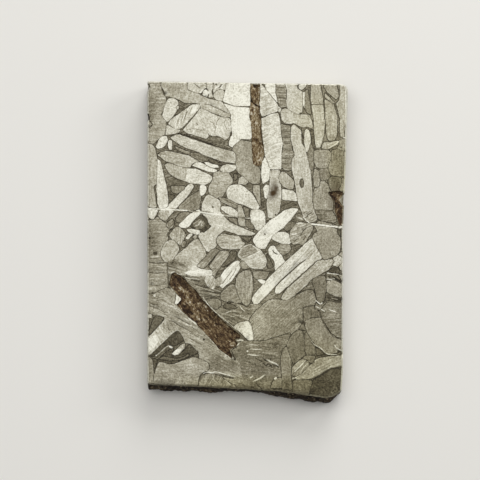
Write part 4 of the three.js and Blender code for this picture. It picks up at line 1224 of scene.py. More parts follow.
@dataclass
class PatchMaker:
    """Turns marks in the picture into patches on the face.

    Attributes:
        rng: gives the random draws.
        tone_spread: how far a grain's tone may be from its own.
        spread: from where a grain was traced to the middle of the line round it.
        cut: the share of a side that rounding cuts off at each end, at most longest_cut.
        wobble: how far an outline is pulled out of shape.
        ground_lay: in radians.
        thin_share: the share of a line's length in which it thins out to thin_end.
    """

    rng: random.Random
    tone_spread: float = 0.012
    spread: float = 0.065
    cut: float = 0.15
    longest_cut: float = 0.1
    longest_side: float = 0.16
    wobble: float = 0.03
    wobble_per_mm: float = 3.3
    hollow_wobble: float = 0.05
    floor_unevenness: float = 0.06
    pit_level: float = -0.035
    pit_tone: float = 0.45
    ground_level: float = -0.007
    ground_tone: float = 0.39
    ground_lay: float = 0.6
    ground_brushed: float = 0.5
    dot_corners: int = 12
    dot_radii: tuple[float, float] = (0.8, 1.1)
    thin_end: float = 0.35
    thin_share: float = 0.3

    def make(self, mark: Mark) -> list[Patch]:
        """Makes the patches for one mark.

        Args:
            mark: the mark.

        Returns:
            One patch, or one for each line of a seam.
        """
        if isinstance(mark, Seam):
            return [self._line(mark, path) for path in mark.paths]
        return [self._grain(mark) if isinstance(mark, Grain) else self._dot(mark)]

    def ground(self, outline: list[Vector]) -> Patch:
        """The ground that shows between the grains."""
        look = (self.ground_tone, self.ground_lay, self.ground_brushed, self.ground_level)
        return Patch(outline, *look, grooved=True)

    def hollow(self, hollow: Hollow) -> Patch:
        """Makes the floor of a hollow.

        Args:
            hollow: the hollow.

        Returns:
            Its patch.
        """
        outline = anticlockwise([Vector(place) + CENTRING for place in hollow.outline])
        ring = self._natural(outline, 1, self.hollow_wobble)
        lay = math.radians(hollow.lay)
        return Patch(ring, hollow.tone, lay, level=-hollow.depth, floor=self.floor_unevenness)

    def _grain(self, grain: Grain) -> Patch:
        """Makes a grain, which is drawn out to the line round it unless it is dark.

        Args:
            grain: the grain.

        Returns:
            Its patch.
        """
        outline = anticlockwise([VIEW.on_face(pixel) for pixel in grain.outline])
        if grain.tone.value > Tone.DEEP.value:
            outline = self._spread(outline)
        tone = grain.tone.share + self.rng.uniform(-1, 1) * self.tone_spread
        level = self.ground_level if grain.tone.value <= Tone.DARK.value else 0.0
        ring = self._natural(outline, 2, self.wobble)
        return Patch(ring, tone, math.radians(grain.lay), grain.brushed, level, grain.edged)

    def _spread(self, ring: list[Vector]) -> list[Vector]:
        """Moves an outline out to the middle of the line that was traced round it."""
        outwards = [Vector((ahead.y, -ahead.x)).normalized() for ahead in ways_ahead(ring)]
        return [at + outward * self.spread for at, outward in zip(ring, outwards)]

    def _line(self, seam: Seam, pixels: tuple[Pixel, ...]) -> Patch:
        """Makes one line of a seam.

        Args:
            seam: the seam.
            pixels: the line's path in the picture.

        Returns:
            Its patch.
        """
        path = self._rounded([VIEW.on_face(pixel) for pixel in pixels], 1, closed=False)
        left, right, last = [], [], len(path) - 1
        for i, at in enumerate(path):
            ahead = path[min(i + 1, last)] - path[max(i - 1, 0)]
            side = Vector((-ahead.y, ahead.x)).normalized()
            thickness = smoothstep(0, self.thin_share, min(i, last - i) / last)
            taper = self.thin_end + (1 - self.thin_end) * thickness
            half = seam.width * VIEW.per_pixel / 2 * taper
            left.append(at + side * half)
            right.append(at - side * half)
        return Patch(anticlockwise(left + right[::-1]), seam.tone.share, level=self._level(seam.tone))

    def _dot(self, dot: Dot) -> Patch:
        """Makes a dot.

        Args:
            dot: the dot.

        Returns:
            Its patch.
        """
        middle, radius = VIEW.on_face(dot.at), dot.radius * VIEW.per_pixel
        turns = [math.tau * k / self.dot_corners for k in range(self.dot_corners)]
        outline = [
            middle + Vector((math.cos(t), math.sin(t))) * radius * self.rng.uniform(*self.dot_radii)
            for t in turns
        ]
        return Patch(outline, dot.tone.share, level=self._level(dot.tone))

    def _level(self, tone: Tone) -> float:
        """Dark seams and dots are pits, and light ones lie in the face."""
        return self.pit_level if tone.share < self.pit_tone else 0.0

    def _natural(self, outline: list[Vector], rounds: int, wobble: float) -> list[Vector]:
        """Rounds an outline's corners, divides its long sides and makes it a little uneven.

        Args:
            outline: the outline.
            rounds: how often its corners are cut.
            wobble: how far it is pulled out of shape.

        Returns:
            The new outline.
        """
        ring = self._rounded(outline, rounds, closed=True)
        divided = []
        for a, b in zip(ring, ring[1:] + ring[:1]):
            count = max(1, math.ceil((b - a).length / self.longest_side))
            divided += [a.lerp(b, k / count) for k in range(count)]
        return [at + self._pull(at) * wobble for at in divided]

    def _pull(self, at: Vector) -> Vector:
        """Which way, and how strongly, a place is pulled out of shape."""
        return noise.noise_vector(Vector((at.x, at.y, 0.0)) * self.wobble_per_mm).to_2d()

    def _rounded(self, path: list[Vector], rounds: int, closed: bool) -> list[Vector]:
        """Cuts the corners of a path.

        Args:
            path: its places in order.
            rounds: how often they are cut.
            closed: whether the path is a ring.

        Returns:
            The new path.
        """
        for _ in range(rounds):
            cut = []
            for a, b in zip(path, path[1:] + path[:1] if closed else path[1:]):
                share = min(self.cut, self.longest_cut / max((b - a).length, self.longest_cut))
                cut += [a.lerp(b, share), a.lerp(b, 1 - share)]
            path = cut if closed else [path[0], *cut, path[-1]]
        return path


@dataclass
class Division:
    """A face divided into triangles.

    Attributes:
        places: the corners of the triangles.
        triangles: three numbers of places each.
        patches: the number of the patch that each triangle belongs to.
        on_rim: for each place on the face's rim, the number of the rim's place there.
    """

    places: list[Vector]
    triangles: list[tuple[int, int, int]]
    patches: list[int]
    on_rim: dict[int, int]

    def patches_round(self) -> dict[int, set[int]]:
        """Finds the patches that meet at each place.

        Returns:
            Their numbers, by the place's number.
        """
        found: dict[int, set[int]] = {}
        for corners, patch in zip(self.triangles, self.patches):
            for corner in corners:
                found.setdefault(corner, set()).add(patch)
        return found


@dataclass
class Divider:
    """Divides a face along the outlines of its patches, later patches over earlier ones.

    Attributes:
        rim: the face's rim.
        patches: the patches, of which the first is the whole face.
        rng: gives the random draws.
        groove_side: from the middle of a groove to its side.
        hollow_side: the width of a hollow's wall, seen from above.
        in_cell: the part of its cell of a grid that a place may lie in.
        smallest: the least distance between two places.
    """

    rim: list[Vector]
    patches: list[Patch]
    rng: random.Random
    groove_side: float = 0.048
    hollow_side: float = 0.08
    mesh_grid: float = 0.45
    floor_grid: float = 0.15
    stain_grid: float = 0.12
    in_cell: tuple[float, float] = (0.15, 0.85)
    smallest: float = 0.0004

    def _sides(self, patch: Patch) -> list[Vector]:
        """Finds where a patch's wall, or both sides of its groove, end.

        Args:
            patch: the patch.

        Returns:
            Places beside its outline.
        """
        inset = self.hollow_side if patch.floor else self.groove_side
        ring, found = patch.outline, []
        for at, ahead in zip(ring, ways_ahead(ring)):
            if ahead.length < self.smallest:
                continue
            inwards = Vector((-ahead.y, ahead.x)).normalized() * inset
            if encloses(ring, at + inwards):
                found.append(at + inwards)
            if patch.grooved and not encloses(ring, at - inwards):
                found.append(at - inwards)
        return found

    def _grid(self, ring: list[Vector], step: float) -> list[Vector]:
        """Spreads places unevenly over a ring's inside.

        Args:
            ring: the ring.
            step: the side of the grid's cells, which have one place each.

        Returns:
            The places.
        """
        low = Vector((min(p.x for p in ring), min(p.y for p in ring)))
        high = Vector((max(p.x for p in ring), max(p.y for p in ring)))
        across, up = math.ceil((high.x - low.x) / step), math.ceil((high.y - low.y) / step)
        draw = self.rng.uniform
        spread = [
            low + Vector((i + draw(*self.in_cell), j + draw(*self.in_cell))) * step
            for i in range(across)
            for j in range(up)
        ]
        return [place for place in spread if encloses(ring, place)]

    def divide(self) -> Division:
        """Runs the division.

        Returns:
            The triangles, each with the last patch that covers it.
        """
        places = list(self.rim)
        faces = [list(range(len(places)))]
        loose = self._grid(self.rim, self.mesh_grid)
        for patch in self.patches[1:]:
            faces.append(list(range(len(places), len(places) + len(patch.outline))))
            places += patch.outline
            if patch.grooved or patch.floor:
                loose += self._sides(patch)
            if patch.floor:
                loose += self._grid(patch.outline, self.floor_grid)
        if any(patch.floor for patch in self.patches):
            for tint in BROWN_TINTS:
                loose += self._grid(tint.ring(), self.stain_grid)
        places += [place for place in loose if encloses(self.rim, place)]
        found, _, triangles, sources, _, owners = delaunay_2d_cdt(
            places, [], faces, 0, self.smallest, True
        )
        kept = [(tuple(t), max(o)) for t, o in zip(triangles, owners) if 0 in o]
        on_rim = {
            i: min(source) for i, source in enumerate(sources)
            if source and min(source) < len(self.rim)
        }
        return Division(found, [t for t, _ in kept], [p for _, p in kept], on_rim)


@dataclass
class SliceMesh:
    """The mesh of the slice: its etched face, its walls and its back, as one closed body.

    Attributes:
        outline: the slice's outline.
        patches: of the etched face.
        rng: gives the random draws.
        groove: the depth of the grooves between grains.
        bevel_bend: how far below the face the bevel has its second ring.
        crust_from: the least share of crust for a wall in the crust's finish.
        chipped_from: the least depth of a chip that darkens the bevel.
        back_shift: from the etched face's pattern to the back's.
        back_contrast: of the back's pattern, as a share of the etched face's.
        apart: how far each patch's fine lines are moved from the last one's.
        flat_facing: how far up or down a face has to point to lie flat on the bake's map.
        map_gap: between the parts of that map.
    """

    outline: SliceOutline
    patches: list[Patch]
    rng: random.Random
    groove: float = 0.004
    wall_step: float = 0.1
    bevel_bend: float = 0.035
    floor_noises: Noises = ((1.0, 2.1), (0.6, 6.5))
    sharp_angle: float = math.radians(38)
    crust_from: float = 0.5
    wall_tone: float = Tone.MID.share
    wall_brushed: float = 1.0
    bevel_highlight_tone: float = 0.95
    bevel_brushed: float = 0.3
    worn_tone: float = 0.6
    chipped_tone: float = 0.15
    chipped_from: float = 0.03
    back_shift: Place = (1.3, -0.9)
    back_contrast: float = 0.3
    back_tone: float = 0.56
    back_lay: float = math.radians(24)
    apart: tuple[float, float] = (3.7, 5.3)
    flat_facing: float = 0.75
    map_gap: float = 0.4
    half_width: float = max(corner.x for corner in CORNERS)
    bm: bmesh.types.BMesh = field(default_factory=bmesh.new)
    rim_points: list[RimPoint] = field(default_factory=list)
    rim_heights: list[float] = field(default_factory=list)

    def __post_init__(self) -> None:
        """Adds what the mesh carries and builds it from the front to the back."""
        on_faces, on_verts, on_loops = (
            kind.layers for kind in (self.bm.faces, self.bm.verts, self.bm.loops)
        )
        self.tone, self.brushed = map(on_faces.float.new, ("tone", "brushed"))
        names = ("edge", "olive", "stain", "shade")
        self.edge, self.olive, self.stain, self.shade = map(on_verts.float.new, names)
        self.node = on_verts.int.new("node")
        self.lay_map, self.bake_map = map(on_loops.uv.new, ("Lay", "OFBake"))
        self._front()
        self._back(self._walls())
        self._finish()

    def _floor(self, at: Vector, patch: Patch) -> float:
        """How far a hollow's floor stands over or under its depth at a place."""
        return patch.floor * noise_at(Vector((at.x, at.y, 0.0)), self.floor_noises)

    def _height(self, at: Vector, touching: list[Patch]) -> float:
        """Finds the height of a place on the front.

        Args:
            at: the place.
            touching: the patches that meet there.

        Returns:
            Its height.
        """
        in_face = [patch for patch in touching if not patch.floor]
        if not in_face:
            deepest = min(touching, key=lambda patch: patch.level)
            return THICKNESS + deepest.level + self._floor(at, deepest)
        groove = self.groove if sum(patch.grooved for patch in in_face) > 1 else 0.0
        return THICKNESS + min(patch.level for patch in in_face) - groove

    def _front(self) -> None:
        """Builds the etched face and remembers its rim for the walls."""
        division = Divider(self.outline.ring(THICKNESS), self.patches, self.rng).divide()
        tints = ((self.olive, OLIVE_TINTS), (self.stain, BROWN_TINTS), (self.shade, TONE_SHIFTS_AND_PAINTED_LIGHT))
        verts = {}
        for i, numbers in division.patches_round().items():
            at, touching = division.places[i], [self.patches[k] for k in numbers]
            vert = self.bm.verts.new((at.x, at.y, self._height(at, touching)))
            vert[self.edge] = float(sum(patch.grooved for patch in touching) > 1)
            for layer, kind in tints:
                vert[layer] = tint_at(at, kind)
            verts[i] = vert
        self._triangles(division, self.patches, verts)
        for i, vert in verts.items():
            if vert.is_boundary:
                source, place = division.on_rim.get(i), division.places[i]
                on_corner = source is not None
                point = self.outline.points[source] if on_corner else self.outline.nearest(place, THICKNESS)
                self.rim_points.append(point)
                self.rim_heights.append(vert.co.z)
                vert[self.node] = len(self.rim_points) - 1

    def _triangles(
        self, division: Division, patches: list[Patch], verts: dict[int, bmesh.types.BMVert]
    ) -> None:
        """Adds a division's triangles with what their patches carry.

        Args:
            division: the divided face.
            patches: its patches.
            verts: the vertices at its places, by number.
        """
        for corners, number in zip(division.triangles, division.patches):
            patch = patches[number]
            face = self.bm.faces.new([verts[i] for i in corners])
            face[self.tone] = patch.tone
            face[self.brushed] = patch.brushed
            face.material_index = Finish.MINERAL if patch.floor else Finish.METAL
            turn = complex(math.cos(patch.lay), -math.sin(patch.lay))
            along, across = (shift * number for shift in self.apart)
            for loop in face.loops:
                laid = complex(loop.vert.co.x, loop.vert.co.y) * turn
                loop[self.lay_map].uv = (laid.real + along, laid.imag + across)

    def _wall_heights(self) -> list[float]:
        """Works out the heights of the walls' rings under the etched face's rim.

        Returns:
            The heights, from the top down.
        """
        below_bevels = THICKNESS - 2 * EDGE_BREAK
        steps = round(below_bevels / self.wall_step)
        middle = [THICKNESS - EDGE_BREAK - below_bevels * k / steps for k in range(steps + 1)]
        return [THICKNESS - self.bevel_bend, *middle, self.bevel_bend, 0.0]

    def _walls(self) -> list[bmesh.types.BMEdge]:
        """Draws the rim down ring by ring to the back.

        Returns:
            The edges of the lowest ring.
        """
        rim = [edge for edge in self.bm.edges if edge.is_boundary]
        for height in self._wall_heights():
            drawn = bmesh.ops.extrude_edge_only(self.bm, edges=rim)["geom"]
            for vert in (item for item in drawn if isinstance(item, bmesh.types.BMVert)):
                place = self.outline.wall_point(self.rim_points[vert[self.node]], height)
                place.z *= self.rim_heights[vert[self.node]] / THICKNESS
                vert.co = place
                vert[self.edge] = 0.0
            rim = [item for item in drawn if isinstance(item, bmesh.types.BMEdge) and item.is_boundary]
        for face in self.bm.faces:
            if len(face.verts) == 4:
                self._dress_wall(face)
        return rim

    def _dress_wall(self, face: bmesh.types.BMFace) -> None:
        """Gives a wall's face its finish and its saw lines.

        Args:
            face: the face.
        """
        points = [self.rim_points[vert[self.node]] for vert in face.verts]
        share = sum(self.outline.crust_share(point) for point in points) / len(points)
        crust = share > self.crust_from
        on_bevel = max(vert.co.z for vert in face.verts) > THICKNESS - EDGE_BREAK / 2
        chipped = self.outline.chip_depth(points[0], THICKNESS) > self.chipped_from
        face.material_index = Finish.CRUST if crust and not on_bevel else Finish.METAL
        # Bevels are painted near white, a painted highlight along the edges; crust bevels and chipped ones
        # get their own tones below.
        face[self.tone] = self.bevel_highlight_tone if on_bevel else self.wall_tone
        face[self.brushed] = self.bevel_brushed if on_bevel else self.wall_brushed
        if crust:
            face[self.tone] = self.worn_tone
        elif chipped and on_bevel:
            face[self.tone] = self.chipped_tone
        for loop, point in zip(face.loops, points):
            loop[self.lay_map].uv = (point.along, loop.vert.co.z)

    def _back(self, rim: list[bmesh.types.BMEdge]) -> None:
        """Closes the back with a faint pattern, like the etched face's but shifted.

        Args:
            rim: the edges of the walls' lowest ring.
        """
        rim_verts = {vert for edge in rim for vert in edge.verts}
        ordered = sorted(rim_verts, key=lambda vert: self.rim_points[vert[self.node]].along)
        ring, shift = [vert.co.to_2d() for vert in ordered], Vector(self.back_shift)
        faint = [Patch(ring, self.back_tone, self.back_lay, self.wall_brushed)]
        for patch in self.patches[1:]:
            moved = [at + shift for at in patch.outline]
            if patch.grooved and all(encloses(ring, at) for at in moved):
                tone = self.back_tone + self.back_contrast * (patch.tone - self.back_tone)
                faint.append(Patch(moved, tone, self.back_lay, self.wall_brushed))
        division = Divider(ring, faint, self.rng).divide()
        verts = {}
        for i in division.patches_round():
            source, at = division.on_rim.get(i), division.places[i]
            verts[i] = self.bm.verts.new((at.x, at.y, 0.0)) if source is None else ordered[source]
        self._triangles(division, faint, verts)

    def _finish(self) -> None:
        """Turns the faces outwards, marks the sharp edges and lays out the bake's map."""
        bmesh.ops.recalc_face_normals(self.bm, faces=self.bm.faces)
        self.bm.normal_update()
        for face in self.bm.faces:
            face.smooth = True
            self._place_on_map(face)
        for edge in self.bm.edges:
            edge.smooth = edge.is_manifold and edge.calc_face_angle() < self.sharp_angle

    def _place_on_map(self, face: bmesh.types.BMFace) -> None:
        """Lays a face on the bake's map: both faces side by side, then the walls as strips.

        Args:
            face: the face.
        """
        middle = self.half_width + self.map_gap
        width, length = 2 * middle, 2 * HALF_LENGTH + 2 * self.map_gap
        strip = THICKNESS + 2 * self.map_gap
        side = 2 * width + 2 * strip
        normal = face.normal
        for loop in face.loops:
            at = loop.vert.co
            if abs(normal.z) > self.flat_facing or face.material_index == Finish.MINERAL:
                left = middle if normal.z > 0 else width + middle
                u, v = left + math.copysign(at.x, at.x * normal.z), length / 2 + at.y
            elif abs(normal.x) > abs(normal.y):
                left = 2 * width + self.map_gap + (strip if normal.x > 0 else 0)
                u, v = left + at.z, length / 2 + at.y
            else:
                left = middle + (width if normal.y > 0 else 0)
                u, v = left + at.x, length + self.map_gap + at.z
            loop[self.bake_map].uv = (u / side, v / side)

    def to_object(self, name: str, finishes: list[bpy.types.Material]) -> bpy.types.Object:
        """Makes the object, in metres, with its place in its mesh.

        Args:
            name: the object's name.
            finishes: its materials, in the order of their slots.

        Returns:
            The object.
        """
        bmesh.ops.scale(self.bm, vec=(MM, MM, MM), verts=self.bm.verts)
        mesh = bpy.data.meshes.new(name)
        self.bm.to_mesh(mesh)
        for finish in finishes:
            mesh.materials.append(finish)
        piece = bpy.data.objects.new(name, mesh)
        bpy.context.scene.collection.objects.link(piece)
        return piece


def linear(grey: float) -> float:
    """A picture's colour value, from 0 to 255, as light."""
    share = grey / 255
    return share / 12.92 if share <= 0.04045 else ((share + 0.055) / 1.055) ** 2.4


def light(colour: Colour, share: float = 1.0) -> tuple[float, ...]:
    """A share of a picture's colour as light, not see-through."""
    return (*(linear(channel) * share for channel in colour), 1.0)


@dataclass(frozen=True)
class Texture:
    """A noise texture.

    Attributes:
        scale: how fine it is.
        detail: how many finer noises it has on top.
        rough: how strong those are.
        stretch: its fineness along and across the grains' fine lines, if it follows them.
    """

    scale: float
    detail: float
    rough: float = 0.6
    stretch: tuple[float, float] | None = None


@dataclass(frozen=True)
class Span:
    """Carries values between low and high to values between start and end, and holds them there."""

    low: float
    high: float
    start: float
    end: float

    def inputs(self) -> dict[str, float]:
        """What goes into the node that does it."""
        return {"From Min": self.low, "From Max": self.high, "To Min": self.start, "To Max": self.end}


class Shader:
    """A material under construction, with short ways to add and join its nodes."""

    MIX_UNDER, MIX_OVER, MIX_RESULT = 6, 7, 2

    def __init__(self, name: str) -> None:
        """Starts a material.

        Args:
            name: its name.
        """
        self.material = bpy.data.materials.new(name)
        self.material.use_nodes = True
        self.tree = self.material.node_tree
        self.surface = self.tree.nodes["Principled BSDF"]

    def fill(self, target: Socket, value: Socket | float | tuple[float, ...]) -> None:
        """Links an input to an output, or gives it a value.

        Args:
            target: the input.
            value: the output or the value.
        """
        if isinstance(value, Socket):
            self.tree.links.new(value, target)
        else:
            target.default_value = value

    def node(self, kind: str, **inputs: Socket | float | tuple[float, ...]) -> bpy.types.Node:
        """Adds a node.

        Args:
            kind: what it is.
            inputs: what goes into its inputs, by their names.

        Returns:
            The node.
        """
        node = self.tree.nodes.new("ShaderNode" + kind)
        for name, value in inputs.items():
            self.fill(node.inputs[name], value)
        return node

    def attribute(self, name: str) -> Socket:
        """Reads one of the mesh's attributes.

        Args:
            name: its name.

        Returns:
            Its value.
        """
        node = self.node("Attribute")
        node.attribute_name = name
        return node.outputs["Fac"]

    def along_lay(self, stretch: tuple[float, float]) -> Socket:
        """Makes coordinates along and across each grain's fine lines.

        Args:
            stretch: their scale along and across.

        Returns:
            The coordinates.
        """
        uv = self.node("UVMap")
        uv.uv_map = "Lay"
        return self.node("Mapping", Vector=uv.outputs["UV"], Scale=(*stretch, 1.0)).outputs["Vector"]

    def noise(self, texture: Texture) -> Socket:
        """Adds a noise texture.

        Args:
            texture: the texture.

        Returns:
            Its value.
        """
        if texture.stretch:
            place = self.along_lay(texture.stretch)
        else:
            place = self.node("TexCoord").outputs["Object"]
        look = {"Scale": texture.scale, "Detail": texture.detail, "Roughness": texture.rough}
        return self.node("TexNoise", Vector=place, **look).outputs["Fac"]

    def facets(self, stretch: tuple[float, float]) -> Socket:
        """The value of cells along the fine lines, the same all over each cell."""
        return self.node("TexVoronoi", Vector=self.along_lay(stretch), Scale=1.0).outputs["Color"]

    def ranged(self, value: Socket, span: Span) -> Socket:
        """A value carried along a span."""
        return self.node("MapRange", Value=value, **span.inputs()).outputs["Result"]

    def maths(self, operation: str, first: Socket, second: Socket | float) -> Socket:
        """Does a sum with two values.

        Args:
            operation: what is done with them.
            first: the first value.
            second: the other value.

        Returns:
            The result.
        """
        node = self.node("Math")
        node.operation = operation
        self.fill(node.inputs[0], first)
        self.fill(node.inputs[1], second)
        return node.outputs["Value"]

    def total(self, first: Socket, *others: Socket) -> Socket:
        """Adds values up.

        Args:
            first: the first value.
            others: the other values.

        Returns:
            Their sum.
        """
        for other in others:
            first = self.maths("ADD", first, other)
        return first

    def ramp(self, value: Socket, stops: tuple[Stop, ...], share: float = 1.0) -> Socket:
        """Gives each value a colour.

        Args:
            value: the value.
            stops: the colours and where they stand.
            share: how much of their light to use.

        Returns:
            The colour.
        """
        node = self.node("ValToRGB", Fac=value)
        elements = node.color_ramp.elements
        while len(elements) < len(stops):
            elements.new(0.5)
        for element, (at, colour) in zip(elements, stops):
            element.position, element.color = at, light(colour, share)
        return node.outputs["Color"]

    def blend(self, share: Socket, under: Socket, over: Colour, kind: str = "MIX") -> Socket:
        """Lays a colour over another.

        Args:
            share: how much of it shows.
            under: the other colour.
            over: the colour.
            kind: how they are blended.

        Returns:
            The blended colour.
        """
        node = self.node("Mix", Factor=share)
        node.data_type, node.blend_type = "RGBA", kind
        self.fill(node.inputs[self.MIX_UNDER], under)
        self.fill(node.inputs[self.MIX_OVER], light(over))
        return node.outputs[self.MIX_RESULT]

    def bump(self, height: Socket, depth: float, strength: float) -> None:
        """Adds fine relief, with its depth in millimetres."""
        node = self.node("Bump", Height=height, Distance=depth * MM, Strength=strength)
        self.fill(self.surface.inputs["Normal"], node.outputs["Normal"])

    def finish(self, **inputs: Socket | float) -> bpy.types.Material:
        """Fills the surface's inputs.

        Args:
            inputs: what goes into them, by their names with _ for each space.

        Returns:
            The finished material.
        """
        for name, value in inputs.items():
            self.fill(self.surface.inputs[name.replace("_", " ")], value)
        return self.material


@dataclass(frozen=True)
class EtchedMetal:
    """Etched nickel-iron: satin, speckled and finely lined, dark in its grooves.

    Each Span carries the value of a texture or an attribute to what it adds to the tone, apart from
    veined_where and roughness. A relief is a depth in millimetres and a strength.
    """

    colours: tuple[Stop, ...] = (
        (0.14, (49, 44, 34)),
        (0.30, (88, 81, 62)),
        (0.48, (131, 124, 103)),
        (0.64, (170, 164, 143)),
        (0.78, (204, 200, 182)),
        (0.95, (243, 241, 226)),
    )
    lightness: float = 0.72
    speckle: Texture = Texture(5400.0, 5.0, 0.8)
    cloud: Texture = Texture(1100.0, 3.0)
    pits: Texture = Texture(9000.0, 1.0)
    veins: Texture = Texture(900.0, 4.0)
    lines: Texture = Texture(1.0, 4.0, 0.75, (0.7, 7.5))
    scratches: Texture = Texture(1.0, 2.0, 0.5, (0.35, 26.0))
    speckled: Span = Span(0.25, 0.75, -0.22, 0.22)
    cloudy: Span = Span(0.3, 0.7, -0.06, 0.06)
    pitted: Span = Span(0.3, 0.7, 0.05, -0.05)
    deep_pitted: Span = Span(0.64, 0.72, 0.0, -0.14)
    veined: Span = Span(0.0, 0.012, -0.16, 0.0)
    veined_where: Span = Span(0.48, 0.58, 0.0, 1.0)
    lined: Span = Span(0.25, 0.75, -0.2, 0.2)
    scratched: Span = Span(0.56, 0.7, 0.0, 0.22)
    grooved: Span = Span(0.1, 0.8, 0.0, -0.44)
    olive: Colour = (252, 250, 228)
    brown: Colour = (58, 43, 20)
    relief: tuple[float, float] = (0.006, 0.5)
    roughness: Span = Span(0.25, 0.9, 0.55, 0.46)
    metallic: float = 0.75

    def material(self) -> bpy.types.Material:
        """Makes the material.

        Returns:
            The material.
        """
        s = Shader("etched_metal")
        speckle, cloud, pits = (s.noise(texture) for texture in (self.speckle, self.cloud, self.pits))
        lines = s.ranged(s.noise(self.lines), self.lined)
        scratches = s.ranged(s.noise(self.scratches), self.scratched)
        lines = s.maths("MULTIPLY", s.total(lines, scratches), s.attribute("brushed"))
        veins = s.maths("ABSOLUTE", s.maths("SUBTRACT", s.noise(self.veins), 0.5), 0.0)
        veins = s.maths("MULTIPLY", s.ranged(veins, self.veined), s.ranged(cloud, self.veined_where))
        value = s.total(
            s.attribute("tone"),
            s.ranged(speckle, self.speckled),
            s.ranged(cloud, self.cloudy),
            # the tone shifts, with their painted highlights and painted shade
            s.attribute("shade"),
            s.ranged(pits, self.pitted),
            s.ranged(pits, self.deep_pitted),
            veins,
            lines,
            s.ranged(s.attribute("edge"), self.grooved),
        )
        colour = s.ramp(value, self.colours, self.lightness)
        colour = s.blend(s.attribute("olive"), colour, self.olive, "MULTIPLY")
        colour = s.blend(s.attribute("stain"), colour, self.brown)
        s.bump(s.total(speckle, lines), *self.relief)
        roughness = s.ranged(value, self.roughness)
        return s.finish(Base_Color=colour, Roughness=roughness, Metallic=self.metallic)


@dataclass(frozen=True)
class BrownMineral:
    """The inclusions' broken brown floor, with dark holes and a few light flecks."""

    colours: tuple[Stop, ...] = (
        (0.08, (38, 25, 14)),
        (0.35, (87, 66, 42)),
        (0.50, (124, 103, 70)),
        (0.68, (171, 154, 119)),
        (0.90, (226, 219, 200)),
    )
    lightness: float = 0.85
    lumps: Texture = Texture(1700.0, 6.0, 0.7)
    bands: Texture = Texture(1.0, 4.0, 0.7, (0.5, 4.0))
    facets: tuple[float, float] = (3.2, 6.5)
    grains: Texture = Texture(1.0, 4.0, 0.8, (3.4, 5.2))
    flecks: Texture = Texture(5200.0, 2.0, 0.5)
    lumpy: Span = Span(0.3, 0.7, -0.16, 0.14)
    banded: Span = Span(0.3, 0.7, -0.15, 0.15)
    faceted: Span = Span(0.1, 0.9, -0.12, 0.12)
    grainy: Span = Span(0.32, 0.68, -0.34, 0.3)
    flecked: Span = Span(0.6, 0.7, 0.0, 0.3)
    relief: tuple[float, float] = (0.05, 0.7)
    roughness: Span = Span(0.3, 0.7, 0.75, 0.5)
    metallic: float = 0.1
    gloss: float = 0.2

    def material(self) -> bpy.types.Material:
        """Makes the material.

        Returns:
            The material.
        """
        s = Shader("brown_mineral")
        lumps, facets = s.noise(self.lumps), s.facets(self.facets)
        value = s.total(
            s.attribute("tone"),
            s.ranged(lumps, self.lumpy),
            s.ranged(s.noise(self.bands), self.banded),
            s.ranged(facets, self.faceted),
            s.ranged(s.noise(self.grains), self.grainy),
            s.ranged(s.noise(self.flecks), self.flecked),
        )
        s.bump(s.total(lumps, facets), *self.relief)
        return s.finish(
            Base_Color=s.ramp(value, self.colours, self.lightness),
            Roughness=s.ranged(lumps, self.roughness),
            Metallic=self.metallic,
            Specular_IOR_Level=self.gloss,
        )


@dataclass(frozen=True)
class NaturalCrust:
    """The natural crust: almost black, gritty, with rusty and bare flecks."""

    colours: tuple[Stop, ...] = (
        (0.20, (11, 8, 5)),
        (0.50, (30, 22, 14)),
        (0.64, (64, 53, 37)),
        (0.80, (148, 136, 110)),
    )
    grit: Texture = Texture(3000.0, 5.0, 0.75)
    patches: Texture = Texture(800.0, 2.0)
    flecks: Texture = Texture(5600.0, 2.0, 0.5)
    patchy: Span = Span(0.35, 0.65, -0.1, 0.12)
    flecked: Span = Span(0.6, 0.72, 0.0, 0.34)
    rusty: Span = Span(0.55, 0.7, 0.0, 0.3)
    rust: Colour = (66, 42, 22)
    relief: tuple[float, float] = (0.06, 0.8)
    roughness: Span = Span(0.3, 0.7, 0.9, 0.65)
    metallic: float = 0.0
    gloss: float = 0.12

    def material(self) -> bpy.types.Material:
        """Makes the material.

        Returns:
            The material.
        """
        s = Shader("natural_crust")
        grit, patches, flecks = (s.noise(texture) for texture in (self.grit, self.patches, self.flecks))
        value = s.total(grit, s.ranged(patches, self.patchy), s.ranged(flecks, self.flecked))
        s.bump(grit, *self.relief)
        return s.finish(
            Base_Color=s.blend(s.ranged(patches, self.rusty), s.ramp(value, self.colours), self.rust),
            Roughness=s.ranged(grit, self.roughness),
            Metallic=self.metallic,
            Specular_IOR_Level=self.gloss,
        )


@dataclass(frozen=True)
class EtchedSlice:
    """The slice, with its pattern, its hollows and its finishes.

    Attributes:
        seed: of the random draws, and of the noise that pulls outlines out of shape.
    """

    seed: int = 4

    @staticmethod
    def patches(outline: SliceOutline, rng: random.Random) -> list[Patch]:
        """Lists the face's patches in the order in which they are laid.

        Args:
            outline: the slice's outline.
            rng: gives the random draws.

        Returns:
            The ground, the pattern and the hollows.
        """
        maker = PatchMaker(rng)
        patches = [maker.ground(outline.ring(THICKNESS))]
        patches += [patch for mark in PATTERN for patch in maker.make(mark)]
        return patches + [maker.hollow(hollow) for hollow in HOLLOWS]

    def build(self) -> bpy.types.Object:
        """Builds the slice and ties it to its frame.

        Returns:
            The finished piece.
        """
        noise.seed_set(self.seed)
        rng, outline = random.Random(self.seed), SliceOutline()
        patches = self.patches(outline, rng)
        log.info("pattern: %d patches", len(patches))
        mesh = SliceMesh(outline, patches, rng)
        open_edges = sum(not edge.is_manifold for edge in mesh.bm.edges)
        log.info("mesh: %d faces, %d open edges", len(mesh.bm.faces), open_edges)
        finishes = [finish.material() for finish in (EtchedMetal(), BrownMineral(), NaturalCrust())]
        piece = mesh.to_object("etched_slice", finishes)
        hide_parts("meteorite_slice")
        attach(piece, "root")
        return piece


